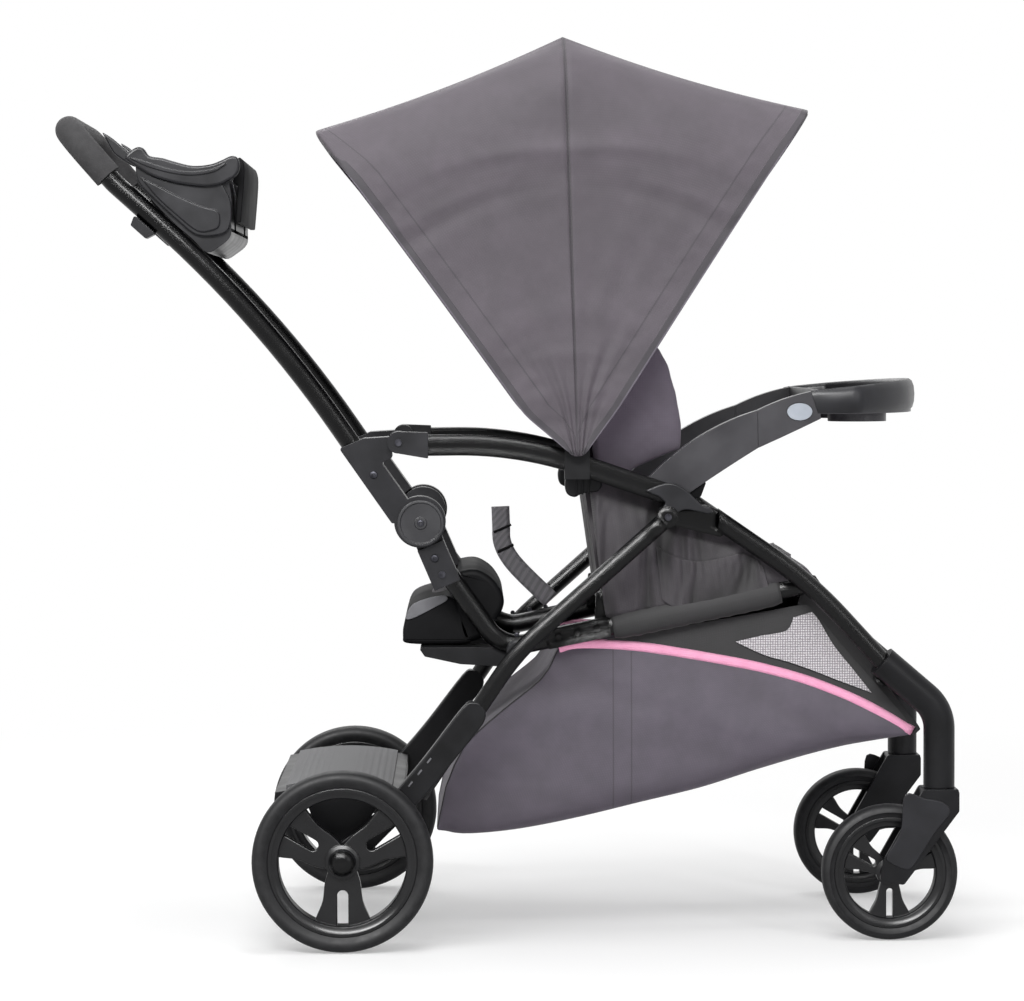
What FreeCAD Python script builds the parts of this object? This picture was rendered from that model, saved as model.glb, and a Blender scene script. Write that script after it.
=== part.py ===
# Sit and stand stroller, millimetres, +Z up, +X is the way it rolls, Y across.
# The origin is on the ground, under the middle of the stroller's length and width.
import FreeCAD
import Part
import math
import os

os.makedirs("parts", exist_ok=True)
V = FreeCAD.Vector

# Driving sizes of the whole stroller.
wheelbase = 701.0
rear_wheel_diameter = 230.0
front_wheel_diameter = 175.0
grip_back_x = -370.3
handle_top_z = 1046.0

# Distances of each layer of the frame from the middle plane: the handle and push tubes
# set the width, and each layer stands a step outside them.
tube_y = 165.0
front_leg_step = 25.5
rail_step = 32.0
rear_leg_step = 50.0
bracket_half_width = 14.0
rear_wheel_step = 39.0
front_wheel_step = 20.0
front_leg_y = tube_y + front_leg_step
rail_y = tube_y + rail_step
rear_leg_y = tube_y + rear_leg_step
bracket_inner_y = rear_leg_y - bracket_half_width
bracket_outer_y = rear_leg_y + bracket_half_width
rear_wheel_half_track = rear_leg_y + rear_wheel_step
front_wheel_half_track = tube_y + front_wheel_step

# Tubes, screws and clearances.
tube_diameter = 25.4
tube_wall = 1.5
leg_diameter = 22.0
front_leg_diameter = 24.0
rail_height = 27.0
rail_width = 13.0
axle_diameter = 12.0
running_gap = 0.05
seat_gap = 0.3
screw_diameter = 9.0
screw_head = 2.4
overrun = 5.0

# Side view places: x ahead of the rear axle, z above the ground. Each run and rise
# starts at the place named before it.
hinge_x, hinge_z = 99.0, 541.0
latch_run, latch_rise = -27.0, 102.0
leg_pivot_run, leg_pivot_rise = 316.0, 6.0
push_top_run, push_top_rise = 18.0, -43.0
push_bend_run, push_bend_rise = 86.0, -122.0
push_end_run, push_end_rise = 387.0, 80.0
cross_run = 19.0
hub_run, hub_rise = -115.0, 93.0
foot_back, foot_z = 49.0, 332.0
swivel_trail = 64.0

tube_radius = tube_diameter / 2
rear_radius = rear_wheel_diameter / 2
front_radius = front_wheel_diameter / 2
mid_x = (wheelbase + front_radius + grip_back_x) / 2
latch_x, latch_z = hinge_x + latch_run, hinge_z + latch_rise
leg_pivot_x, leg_pivot_z = hinge_x + leg_pivot_run, hinge_z + leg_pivot_rise
push_top_x, push_top_z = hinge_x + push_top_run, hinge_z + push_top_rise
push_bend_x, push_bend_z = push_top_x + push_bend_run, push_top_z + push_bend_rise
push_end_x, push_end_z = push_bend_x + push_end_run, push_bend_z + push_end_rise
cross_x, cross_z = push_bend_x + cross_run, push_bend_z
hub_x, hub_z = leg_pivot_x + hub_run, leg_pivot_z + hub_rise
swivel_x = wheelbase + swivel_trail
near_and_far = (-1, 1)


def at(x, z, y=0):
    """A point given by its side view place and its distance across."""
    return V(x - mid_x, y, z)


def spread(x, z, size, shares):
    """Points round a side view place, given as shares of one size."""
    return [at(x + size * a, z + size * b) for a, b in shares]


def save(name, shapes):
    """Write one node's solids."""
    solids = []
    for shape in shapes:
        solids.extend(shape.Solids)
    whole = solids[0] if len(solids) == 1 else Part.makeCompound(solids)
    whole.exportStep("parts/" + name + ".step")


def mirrored(shape):
    return shape.mirror(V(0, 0, 0), V(0, 1, 0))


def both_sides(shape):
    return [shape, mirrored(shape)]


def largest(shape):
    return max(shape.Solids, key=lambda solid: solid.Volume)


def bent_path(points, radii):
    """Straight runs joined by tangent arcs, one radius for each inner point."""
    edges = []
    start = points[0]
    for i in range(1, len(points) - 1):
        corner = points[i]
        back = (points[i - 1] - corner).normalize()
        ahead = (points[i + 1] - corner).normalize()
        half = back.getAngle(ahead) / 2
        reach = radii[i - 1] / math.tan(half)
        first = corner + back * reach
        last = corner + ahead * reach
        inward = (back + ahead).normalize()
        middle = corner + inward * (radii[i - 1] / math.sin(half) - radii[i - 1])
        edges.append(Part.LineSegment(start, first).toShape())
        edges.append(Part.Arc(first, middle, last).toShape())
        start = last
    edges.append(Part.LineSegment(start, points[-1]).toShape())
    return Part.Wire(edges)


def swept(path, radius):
    """A round bar along a path."""
    first = path.Edges[0]
    start = first.valueAt(first.FirstParameter)
    ring = Part.Circle(start, first.tangentAt(first.FirstParameter), radius)
    return path.makePipeShell([Part.Wire(ring.toShape())], True, False)


def tube(path, radius):
    return swept(path, radius).cut(swept(path, radius - tube_wall))


def polygon(points):
    return Part.makePolygon(points + points[:1])


def rounded(points, radius):
    """A closed outline of straight sides with its corners rounded."""
    count = len(points)
    edges = []
    ends = []
    for i in range(count):
        corner = points[i]
        back = (points[i - 1] - corner).normalize()
        ahead = (points[(i + 1) % count] - corner).normalize()
        half = back.getAngle(ahead) / 2
        reach = radius / math.tan(half)
        inward = (back + ahead).normalize()
        middle = corner + inward * (radius / math.sin(half) - radius)
        ends.append((corner + back * reach, middle, corner + ahead * reach))
    for i in range(count):
        first, middle, last = ends[i]
        edges.append(Part.Arc(first, middle, last).toShape())
        edges.append(Part.LineSegment(last, ends[(i + 1) % count][0]).toShape())
    return Part.Wire(edges)


def curved(top, low):
    """A closed outline of two arcs, each through three points, joined end to end."""
    edges = [Part.Arc(*top).toShape(), Part.LineSegment(top[-1], low[0]).toShape(),
             Part.Arc(*low).toShape(), Part.LineSegment(low[-1], top[0]).toShape()]
    return Part.Wire(edges)


def slab(outline, y_low, y_high):
    """A flat plate of a side view outline between two distances on the near side."""
    face = Part.Face(outline)
    face.translate(V(0, -y_high, 0))
    return face.extrude(V(0, y_high - y_low, 0))


def disc(x, z, radius, y_low, y_high):
    """A round piece across the stroller on the near side."""
    return Part.makeCylinder(radius, y_high - y_low, at(x, z, -y_high), V(0, 1, 0))


def cross_bar(x, z, radius, half_length):
    return Part.makeCylinder(radius, 2 * half_length, at(x, z, -half_length), V(0, 1, 0))


def turned_about(shape, x, z, degrees):
    """Turn a shape about an axis across the stroller; positive leans it forward."""
    copy = shape.copy()
    copy.rotate(at(x, z), V(0, 1, 0), degrees)
    return copy


# Handle: one bent tube from hinge to hinge.
handle_low_run, handle_low_rise = -45.0, 36.0
handle_bend_run, handle_bend_rise = -203.0, 267.0
handle_neck_run, handle_neck_rise = -389.0, 434.0
handle_bend_radius = 1500.0
handle_neck_radius = 90.0
handle_corner_radius = 55.0
grip_radius = 18.0
grip_start_share = 0.12
handle_low = at(hinge_x + handle_low_run, hinge_z + handle_low_rise)
handle_bend = at(hinge_x + handle_bend_run, hinge_z + handle_bend_rise)
handle_neck = at(hinge_x + handle_neck_run, hinge_z + handle_neck_rise)
handle_top = at(grip_back_x + grip_radius, handle_top_z)
neck_x, neck_z = hinge_x + handle_neck_run, hinge_z + handle_neck_rise


def handle_path():
    across = V(0, tube_y, 0)
    side = [handle_low, handle_bend, handle_neck, handle_top]
    points = [p - across for p in side] + [p + across for p in reversed(side)]
    radii = [handle_bend_radius, handle_neck_radius, handle_corner_radius]
    return bent_path(points, radii + radii[::-1])


def handle_tube():
    save("handle_tube", [tube(handle_path(), tube_radius)])


def handle_grip():
    """Foam sleeve round the top of the handle."""
    across = V(0, tube_y, 0)
    start = handle_neck + (handle_top - handle_neck) * grip_start_share
    points = [start - across, handle_top - across, handle_top + across, start + across]
    path = bent_path(points, [handle_corner_radius] * 2)
    save("handle_grip", [swept(path, grip_radius).cut(swept(handle_path(), tube_radius))])


# Parent console: a moulded crescent that sits on the two handle tubes. Its heel and foot
# are shares of the run from the handle's bend to its neck.
console_side = 11.0
console_rear_run, console_rear_rise = -8.0, 46.0
console_dip_run, console_dip = 6.0, 9.0
console_chin_run, console_chin_rise = 16.0, 25.0
console_height = 113.0
console_grip = 9.0
console_foot_share = 0.32
console_heel_share = 0.87
cup_radius = 37.0
cup_run = 100.0
cup_floor_rise = -39.0
cup_y = 104.0
bin_half_length = 34.0
bin_half_width = 46.0
lip_height = 86.0
lip_half_width = 150.0
lip_rounding = 2.5
lip_shares = [(-0.1047, -0.0698), (0.0581, 0.0698), (0.1628, -0.0814), (0.093, -0.9419), (0.0233, -0.9302),
              (0.0581, -0.2558), (-0.1047, -0.2558)]


def parent_console():
    """Side outline with a dished top, two cup wells, a middle bin and a front lip."""
    run = handle_neck - handle_bend
    lift = V(0, 1, 0).cross(run).normalize() * console_grip
    heel = handle_bend + run * console_heel_share + lift
    foot = handle_bend + run * console_foot_share + lift
    rear = heel + V(console_rear_run, 0, console_rear_rise)
    chin = foot + V(console_chin_run, 0, console_chin_rise)
    front = chin + V(0, 0, console_height)
    dip = (rear + front) * 0.5 + V(console_dip_run, 0, -console_dip)
    front_x, front_z = front.x + mid_x, front.z
    corners = [front, chin, foot, heel, rear]
    edges = [Part.Arc(rear, dip, front).toShape()]
    for start, end in zip(corners, corners[1:]):
        edges.append(Part.LineSegment(start, end).toShape())
    half_width = tube_y + console_side
    body = slab(Part.Wire(edges), -half_width, half_width)
    lip = rounded(spread(front_x, front_z, lip_height, lip_shares), lip_rounding)
    body = body.fuse(slab(lip, -lip_half_width, lip_half_width)).removeSplitter()
    floor_z = neck_z + cup_floor_rise
    well = front_z + overrun - floor_z
    cup_x = neck_x + cup_run
    for y in (-cup_y, cup_y):
        body = body.cut(Part.makeCylinder(cup_radius, well, at(cup_x, floor_z, y), V(0, 0, 1)))
    bin_base = at(cup_x - bin_half_length, floor_z, -bin_half_width)
    body = body.cut(Part.makeBox(2 * bin_half_length, 2 * bin_half_width, well, bin_base))
    save("parent_console", [body.cut(swept(handle_path(), tube_radius))])


# Fold triggers slide along the underside of the handle tubes.
trigger_share = 0.74
trigger_length = 36.0
trigger_height = 13.0
trigger_width = 22.0
trigger_lip = 5.0


def fold_trigger(side, name):
    run = handle_neck - handle_bend
    along = run * (1 / run.Length)
    across = along.cross(V(0, 1, 0))
    centre = handle_bend + run * trigger_share + across * (tube_radius + seat_gap)
    corner = centre - along * (trigger_length / 2) + V(0, side * tube_y - trigger_width / 2, 0)
    points = [corner, corner + along * trigger_length,
              corner + along * (trigger_length - trigger_lip) + across * trigger_height,
              corner + along * trigger_lip + across * trigger_height]
    face = Part.Face(rounded(points, trigger_lip / 2))
    save(name, [face.extrude(V(0, trigger_width, 0))])


# Hinge between the handle and the push tubes.
hinge_radius = 33.0
hinge_disc_radius = 31.0
hinge_split_step = 0.8
hinge_outer_step = 24.5
hinge_inner_step = 23.0
hinge_split_y = tube_y + hinge_split_step
hinge_outer_y = tube_y + hinge_outer_step
hinge_inner_y = tube_y - hinge_inner_step
sleeve_half_width = 18.0
sleeve_run, sleeve_drop = 35.0, 82.0
cap_radius = 28.0
cap_thickness = 3.0
ear_radius = 14.0
housing_shares = [(4.122, -0.96), (3.908, 0.03), (3.36, 0.939), (2.65, 0.527), (2.739, 0.075),
                  (0.848, 0.103), (0.227, 0.045), (0.55, -0.93)]


def upper_hinges():
    """Housing round the foot of the handle with the outer disc and the latch ear."""
    along = (handle_bend - handle_low).normalize() * hinge_radius
    side = V(0, 1, 0).cross(along)
    centre = at(hinge_x, hinge_z)
    outline = rounded([centre + along * a + side * b for a, b in housing_shares], ear_radius / 4)
    body = slab(outline, tube_y - sleeve_half_width, hinge_outer_y)
    body = body.cut(disc(hinge_x, hinge_z, hinge_radius + seat_gap, 0, hinge_split_y))
    body = body.fuse(disc(hinge_x, hinge_z, hinge_radius, hinge_split_y, hinge_outer_y))
    body = body.fuse(disc(latch_x, latch_z, ear_radius, tube_y, hinge_outer_y))
    body = body.cut(swept(handle_path(), tube_radius)).removeSplitter()
    save("upper_hinges", both_sides(body))


def hinge_caps():
    body = disc(hinge_x, hinge_z, cap_radius, hinge_outer_y, hinge_outer_y + cap_thickness)
    rim = cap_thickness / 2
    body = body.makeFillet(rim, [e for e in body.Edges if abs(e.BoundBox.YMin - body.BoundBox.YMin) < rim])
    save("hinge_caps", both_sides(body))


# Push tubes run down from the hinge and forward under the seat.
push_bend_radius = 48.0


def push_path(side):
    points = [at(push_top_x, push_top_z, side * tube_y), at(push_bend_x, push_bend_z, side * tube_y),
              at(push_end_x, push_end_z, side * tube_y)]
    return bent_path(points, [push_bend_radius])


def push_tubes():
    save("push_tubes", both_sides(tube(push_path(-1), tube_radius)))


def lower_hinges():
    """Inner disc of the hinge and the sleeve round the top of the push tube."""
    centre = at(hinge_x, hinge_z)
    end = centre + V(sleeve_run, 0, -sleeve_drop)
    along = (end - centre).normalize()
    start = centre + along * (hinge_radius + 2 * seat_gap)
    half = V(0, 1, 0).cross(along) * sleeve_half_width
    sleeve = slab(polygon([start + half, end + half, end - half, start - half]),
                  tube_y - sleeve_half_width, tube_y + sleeve_half_width)
    sleeve = sleeve.cut(disc(hinge_x, hinge_z, hinge_radius + 2 * seat_gap, 0, hinge_outer_y + overrun))
    foot = start + along * overrun
    arm = slab(polygon([centre + half, foot + half, foot - half, centre - half]),
               hinge_inner_y, hinge_split_y - seat_gap)
    hub = disc(hinge_x, hinge_z, hinge_disc_radius, hinge_inner_y, hinge_split_y - seat_gap)
    body = hub.fuse(arm).fuse(sleeve).cut(swept(push_path(-1), tube_radius)).removeSplitter()
    save("lower_hinges", both_sides(body))


# Side rails: flat oval tubes that arch from the handle to the legs.
rail_start_run, rail_start_drop = 24.0, 4.0
rail_crown_run, rail_crown_drop = 156.0, 3.0
rail_end_run, rail_end_rise = 5.0, 27.0
rail_bend_radius = 480.0


def rail_path():
    points = [at(latch_x + rail_start_run, latch_z - rail_start_drop, -rail_y),
              at(latch_x + rail_crown_run, latch_z - rail_crown_drop, -rail_y),
              at(leg_pivot_x + rail_end_run, leg_pivot_z + rail_end_rise, -rail_y)]
    return bent_path(points, [rail_bend_radius])


def rail_bar(half_height, half_width):
    """A bar of rounded oblong section along the rail."""
    path = rail_path()
    start = path.Edges[0].valueAt(path.Edges[0].FirstParameter)
    along = path.Edges[0].tangentAt(path.Edges[0].FirstParameter)
    up = V(0, -1, 0).cross(along)
    side = V(0, half_width, 0)
    top = start + up * (half_height - half_width)
    low = start - up * (half_height - half_width)
    edges = [Part.LineSegment(low - side, top - side).toShape(),
             Part.Arc(top - side, top + up * half_width, top + side).toShape(),
             Part.LineSegment(top + side, low + side).toShape(),
             Part.Arc(low + side, low - up * half_width, low - side).toShape()]
    return path.makePipeShell([Part.Wire(edges)], True, False)


def side_rails():
    bar = rail_bar(rail_height / 2, rail_width / 2)
    bore = rail_bar(rail_height / 2 - tube_wall, rail_width / 2 - tube_wall)
    save("side_rails", both_sides(bar.cut(bore)))


rail_end_outer = rail_y + rail_width / 2 + 2 * tube_wall
rail_socket_half = rail_height / 2 + 2 * tube_wall


def rail_ends():
    """Round ear over the latch of the handle, with a socket for the rail."""
    inner = hinge_outer_y + seat_gap
    ear = disc(latch_x, latch_z, ear_radius, inner, rail_end_outer)
    mouth_x = latch_x + rail_start_run + ear_radius
    middle = latch_z - rail_start_drop
    block = slab(rounded([at(latch_x, latch_z + ear_radius), at(mouth_x, middle + rail_socket_half),
                          at(mouth_x, middle - rail_socket_half), at(latch_x, latch_z - ear_radius)],
                         tube_wall), inner, rail_end_outer)
    save("rail_ends", both_sides(ear.fuse(block).cut(rail_bar(rail_height / 2, rail_width / 2))))


# Rear legs run from the junction down to the brackets on the rear axle.
leg_top_run, leg_top_drop = -8.0, 7.0
leg_low_run, leg_low_rise = 97.0, 78.0
leg_bend_radius = 320.0


def rear_leg_path():
    points = [at(leg_pivot_x + leg_top_run, leg_pivot_z - leg_top_drop, -rear_leg_y),
              at(cross_x, cross_z, -rear_leg_y),
              at(leg_low_run, rear_radius + leg_low_rise, -rear_leg_y)]
    return bent_path(points, [leg_bend_radius])


def rear_legs():
    """Each leg is a bent tube with an eye at its plugged top for the leg pivot."""
    top = disc(leg_pivot_x, leg_pivot_z, 2 * ear_radius, 0, rear_leg_y + leg_diameter)
    bore = swept(rear_leg_path(), leg_diameter / 2 - tube_wall).cut(top)
    eye = disc(leg_pivot_x, leg_pivot_z, ear_radius, rear_leg_y - leg_diameter / 2, rear_leg_y)
    leg = swept(rear_leg_path(), leg_diameter / 2).fuse(eye)
    save("rear_legs", both_sides(leg.cut(bore)))


def cross_pivots():
    """Spacer and pin where each push tube crosses its rear leg."""
    body = disc(cross_x, cross_z, tube_radius, tube_y, rear_leg_y)
    body = body.cut(swept(push_path(-1), tube_radius))
    body = body.cut(swept(rear_leg_path(), leg_diameter / 2))
    save("cross_pivots", both_sides(largest(body)))


# Junction where rail, front leg, rear leg and tray arm meet.
knuckle_radius = 66.0
junction_inset = 7.2
junction_cover = 6.7
socket_cover = 10.0
junction_inner_y = rail_y - junction_inset
junction_outer_y = rail_y + junction_cover
rail_socket_y = rail_y + socket_cover
junction_rounding = 4.0
junction_shares = [(-0.5303, 0.4091), (-0.4545, 0.8788), (0.1667, 0.7273), (0.4545, 0.5455),
                   (0.8485, 0.2424), (0.7879, 0.0455), (0.5303, 0.0909), (0.197, -0.197), (-0.197, -0.197),
                   (-0.2273, 0.197)]
socket_shares = [(-0.5303, 0.4091), (-0.4545, 0.8788), (0.1667, 0.7273), (0.0758, 0.2273)]


def junctions():
    """Arched cover over the joint of rail and legs, open below for the folding leg."""
    outline = rounded(spread(leg_pivot_x, leg_pivot_z, knuckle_radius, junction_shares), junction_rounding)
    body = slab(outline, junction_inner_y, junction_outer_y)
    body = body.common(disc(leg_pivot_x, leg_pivot_z, knuckle_radius - seat_gap, 0, rear_leg_y))
    socket = rounded(spread(leg_pivot_x, leg_pivot_z, knuckle_radius, socket_shares), junction_rounding / 2)
    body = body.fuse(slab(socket, junction_inner_y, rail_socket_y))
    body = body.cut(rail_bar(rail_height / 2, rail_width / 2))
    body = body.cut(swept(rear_leg_path(), leg_diameter / 2))
    body = body.cut(disc(leg_pivot_x, leg_pivot_z, ear_radius, rear_leg_y - leg_diameter / 2, rear_leg_y))
    save("junctions", both_sides(largest(body.removeSplitter())))


# Front legs, each a bent tube on a flat arm that turns about the leg pivot.
front_start_run, front_start_rise = 37.0, 15.0
front_bend_run, front_bend_drop = 183.0, 86.0
front_bend_radius = 520.0
leg_arm_step = 14.0
arm_inner_y = tube_y + leg_arm_step
arm_half_height = 10.0
arm_rounding = 4.0
arm_shares = [(0.7576, 0.2121), (1.0303, 0.1061), (1.2879, -0.197), (1.0455, -0.4091)]


def front_leg_points():
    return [at(leg_pivot_x + front_start_run, leg_pivot_z + front_start_rise, -front_leg_y),
            at(leg_pivot_x + front_bend_run, leg_pivot_z - front_bend_drop, -front_leg_y),
            at(swivel_x - foot_back, foot_z, -front_leg_y)]


def front_leg_path():
    return bent_path(front_leg_points(), [front_bend_radius])


def front_legs():
    bar = tube(front_leg_path(), front_leg_diameter / 2)
    bar = largest(bar.cut(disc(leg_pivot_x, leg_pivot_z, knuckle_radius, 0, 2 * rear_leg_y)))
    outer = junction_inner_y - seat_gap
    corners = [at(leg_pivot_x, leg_pivot_z + arm_half_height)]
    corners += spread(leg_pivot_x, leg_pivot_z, knuckle_radius, arm_shares)
    corners += [at(leg_pivot_x, leg_pivot_z - arm_half_height)]
    arm = slab(rounded(corners, arm_rounding), arm_inner_y, outer)
    arm = arm.fuse(disc(leg_pivot_x, leg_pivot_z, arm_half_height + tube_wall, arm_inner_y, outer))
    ring = disc(leg_pivot_x, leg_pivot_z, 2 * knuckle_radius, 0, rear_leg_y)
    ring = ring.cut(disc(leg_pivot_x, leg_pivot_z, knuckle_radius, 0, rear_leg_y))
    arm = arm.cut(swept(front_leg_path(), front_leg_diameter / 2 - tube_wall).common(ring))
    save("front_legs", both_sides(bar.fuse(arm).removeSplitter()))


# Caster housings at the feet of the front legs.
housing_radius = 20.0
housing_start_share = 0.22
housing_knee_drop = 36.0
housing_bend_radius = 52.0
fork_top_z = 196.0
swivel_pin_radius = 6.0
swivel_pin_length = 60.0


def housing_path():
    """Up the leg, round the elbow and straight down over the swivel."""
    bend, foot = front_leg_points()[1:]
    start = foot + (bend - foot) * housing_start_share
    knee = at(swivel_x, foot_z - housing_knee_drop, -front_wheel_half_track)
    end = at(swivel_x, fork_top_z + 2 * seat_gap, -front_wheel_half_track)
    return bent_path([start, knee, end], [housing_bend_radius])


def caster_housings():
    body = swept(housing_path(), housing_radius)
    body = body.cut(swept(front_leg_path(), front_leg_diameter / 2))
    hole = Part.makeCylinder(swivel_pin_radius + running_gap, swivel_pin_length + overrun,
                             at(swivel_x, fork_top_z, -front_wheel_half_track), V(0, 0, 1))
    save("caster_housings", both_sides(largest(body.cut(hole))))


crossbar_back, crossbar_rise = 73.0, 4.0
crossbar_radius = 9.0
crossbar_x, crossbar_z = swivel_x - crossbar_back, foot_z + crossbar_rise


def front_crossbar():
    body = cross_bar(crossbar_x, crossbar_z, crossbar_radius, front_leg_y)
    for cutter in both_sides(swept(housing_path(), housing_radius)):
        body = body.cut(cutter)
    for cutter in both_sides(swept(front_leg_path(), front_leg_diameter / 2)):
        body = body.cut(cutter)
    save("front_crossbar", [largest(body)])


# Wheels: a moulded rim with three split spokes, and a solid tyre.
rear_tyre_width = 42.0
front_tyre_width = 34.0
rim_share = 0.83
ring_width_share = 0.8
rim_ring = 14.0
hub_radius = 17.0
spoke_root_share = 0.19
spoke_tip_share = 0.295
slot_start_share = 0.28
slot_half_share = 0.058
spoke_thickness = 12.0
tyre_round = 12.0
spoke_angles = (-90.0, 30.0, 150.0)


def wheel_parts(radius, width, y_middle):
    """Rim and tyre of one wheel, centred on the axle line at y_middle."""
    across = V(0, 1, 0)
    half = width / 2
    rim_radius = radius * rim_share
    inner = rim_radius - rim_ring
    ring_half = half * ring_width_share
    ring = Part.makeCylinder(rim_radius, 2 * ring_half, V(0, -ring_half, 0), across)
    ring = ring.cut(Part.makeCylinder(inner, width, V(0, -half, 0), across))
    rim = ring.fuse(Part.makeCylinder(hub_radius, width, V(0, -half, 0), across))
    slot_start, slot_half = radius * slot_start_share, radius * slot_half_share
    root, tip = radius * spoke_root_share, radius * spoke_tip_share
    face = Part.Face(polygon([V(0, 0, -root), V(rim_radius, 0, -tip), V(rim_radius, 0, tip), V(0, 0, root)]))
    face.translate(V(0, -spoke_thickness / 2, 0))
    blade = face.extrude(V(0, spoke_thickness, 0))
    blade = blade.common(Part.makeCylinder(inner + rim_ring / 2, width, V(0, -half, 0), across))
    slot = Part.makeBox(inner - slot_start, width, 2 * slot_half, V(slot_start, -half, -slot_half))
    blade = blade.cut(slot)
    for degrees in spoke_angles:
        spoke = blade.copy()
        spoke.rotate(V(0, 0, 0), across, -degrees)
        rim = rim.fuse(spoke)
    rim = rim.cut(Part.makeCylinder(axle_diameter / 2 + running_gap, 2 * width, V(0, -width, 0), across))
    tyre = Part.makeCylinder(radius, width, V(0, -half, 0), across)
    tyre = tyre.makeFillet(tyre_round, [e for e in tyre.Edges if e.Closed])
    tyre = tyre.cut(Part.makeCylinder(rim_radius, 2 * width, V(0, -width, 0), across))
    both = []
    for shape in (rim.removeSplitter(), tyre):
        shape.translate(V(0, y_middle, 0))
        both.append(shape)
    return both


def wheels():
    sizes = [("rear", 0.0, rear_radius, rear_tyre_width, rear_wheel_half_track),
             ("front", wheelbase, front_radius, front_tyre_width, front_wheel_half_track)]
    for name, x, radius, width, half_track in sizes:
        for letter, side in (("r", -1), ("l", 1)):
            for part_name, shape in zip(("rim", "tyre"), wheel_parts(radius, width, side * half_track)):
                shape.translate(at(x, radius))
                save(name + "_" + part_name + "_" + letter, [shape])


def rear_axle():
    half_length = rear_wheel_half_track + rear_tyre_width / 2
    save("rear_axle", [cross_bar(0, rear_radius, axle_diameter / 2, half_length)])


fork_plate = 6.0
fork_gap = 2.0
fork_bridge = 14.0
fork_half_length = 23.0
fork_drop = 28.0
fork_eye = 16.0
fork_rounding = 5.0
fork_eye_shares = [(1.0, -0.88), (-0.94, -0.5), (-0.63, 1.13)]


def caster_fork(side, name):
    """Two cheeks from the swivel down to the axle, a bridge, the swivel pin and the axle."""
    half = front_tyre_width / 2 + fork_gap
    rear_x, front_x = swivel_x - fork_half_length, swivel_x + fork_half_length
    cheek = [at(rear_x, fork_top_z), at(front_x, fork_top_z), at(front_x, fork_top_z - fork_drop)]
    cheek += spread(wheelbase, front_radius, fork_eye, fork_eye_shares)
    body = slab(rounded(cheek, fork_rounding), half, half + fork_plate)
    body = body.fuse(mirrored(body))
    bridge = slab(rounded([at(rear_x, fork_top_z), at(front_x, fork_top_z),
                           at(front_x, fork_top_z - fork_bridge), at(rear_x, fork_top_z - fork_bridge)],
                          fork_rounding / 2), -half, half)
    pin = Part.makeCylinder(swivel_pin_radius, swivel_pin_length + overrun,
                            at(swivel_x, fork_top_z - overrun), V(0, 0, 1))
    axle = cross_bar(wheelbase, front_radius, axle_diameter / 2, half + fork_plate)
    body = body.fuse([bridge, pin, axle]).removeSplitter()
    body.translate(V(0, side * front_wheel_half_track, 0))
    save(name, [body])


# Brackets from the feet of the rear legs to the axle.
bracket_rounding = 8.0
bracket_shares = [(1.8144, 1.9072), (1.5464, 2.0722), (0.8041, 0.9175), (-0.1237, 0.2784),
                  (-0.2268, -0.0309), (0.0, -0.2268), (0.3093, -0.1959), (1.3608, 0.134), (1.4433, 0.3608),
                  (1.1546, 0.6289)]


def rear_brackets():
    outline = rounded(spread(0, rear_radius, leg_low_run, bracket_shares), bracket_rounding)
    body = slab(outline, bracket_inner_y, bracket_outer_y)
    body = body.cut(swept(rear_leg_path(), leg_diameter / 2))
    body = body.cut(disc(0, rear_radius, axle_diameter / 2, 0, rear_wheel_half_track))
    save("rear_brackets", both_sides(largest(body)))


# Standing platform between the rear brackets.
platform_half_length = 82.0
platform_shift = -6.0
platform_rise = 81.0
platform_thickness = 16.0
platform_crown = 7.0
strut_width = 14.0
tread_thickness = 7.5
tread_margin = 14.0
platform_top_z = rear_radius + platform_rise


def crowned_deck(half_length, half_width, low_z, top_z):
    """A deck with a gently arched top."""
    rear_x, front_x = platform_shift - half_length, platform_shift + half_length
    edges = [Part.Arc(at(rear_x, top_z), at(platform_shift, top_z + platform_crown),
                      at(front_x, top_z)).toShape()]
    corners = [at(front_x, top_z), at(front_x, low_z), at(rear_x, low_z), at(rear_x, top_z)]
    for start, end in zip(corners, corners[1:]):
        edges.append(Part.LineSegment(start, end).toShape())
    return slab(Part.Wire(edges), -half_width, half_width)


def platform_deck():
    return crowned_deck(platform_half_length, bracket_inner_y - seat_gap,
                        platform_top_z - platform_thickness, platform_top_z)


def standing_platform():
    half_width = bracket_inner_y - seat_gap
    low = platform_top_z - platform_thickness
    foot = rear_radius - ear_radius
    strut = rounded([at(platform_shift - platform_half_length / 2, low), at(platform_half_length / 2, low),
                     at(ear_radius, foot), at(-ear_radius, foot)], tube_wall)
    strut = slab(strut, half_width - strut_width, half_width)
    strut = strut.cut(disc(0, rear_radius, axle_diameter / 2, 0, rear_wheel_half_track))
    save("standing_platform", [platform_deck().fuse(both_sides(strut)).removeSplitter()])


def platform_tread():
    pad = crowned_deck(platform_half_length - tread_margin, bracket_inner_y - tread_margin,
                       platform_top_z, platform_top_z + tread_thickness)
    save("platform_tread", [largest(pad.cut(platform_deck()))])


pedal_half_width = 42.0
pedal_ring = 14.0
pedal_reach = 96.0
pedal_shares = [(0.0, 0.135), (-0.958, 0.27), (-1.0, 0.167), (0.0, 0.042)]


def brake_pedal():
    ring = cross_bar(0, rear_radius, pedal_ring, pedal_half_width)
    plate = slab(rounded(spread(0, rear_radius, pedal_reach, pedal_shares), tube_wall),
                 -pedal_half_width, pedal_half_width)
    body = ring.fuse(plate).cut(cross_bar(0, rear_radius, axle_diameter / 2 + running_gap,
                                          rear_wheel_half_track))
    save("brake_pedal", [body.removeSplitter()])


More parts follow.
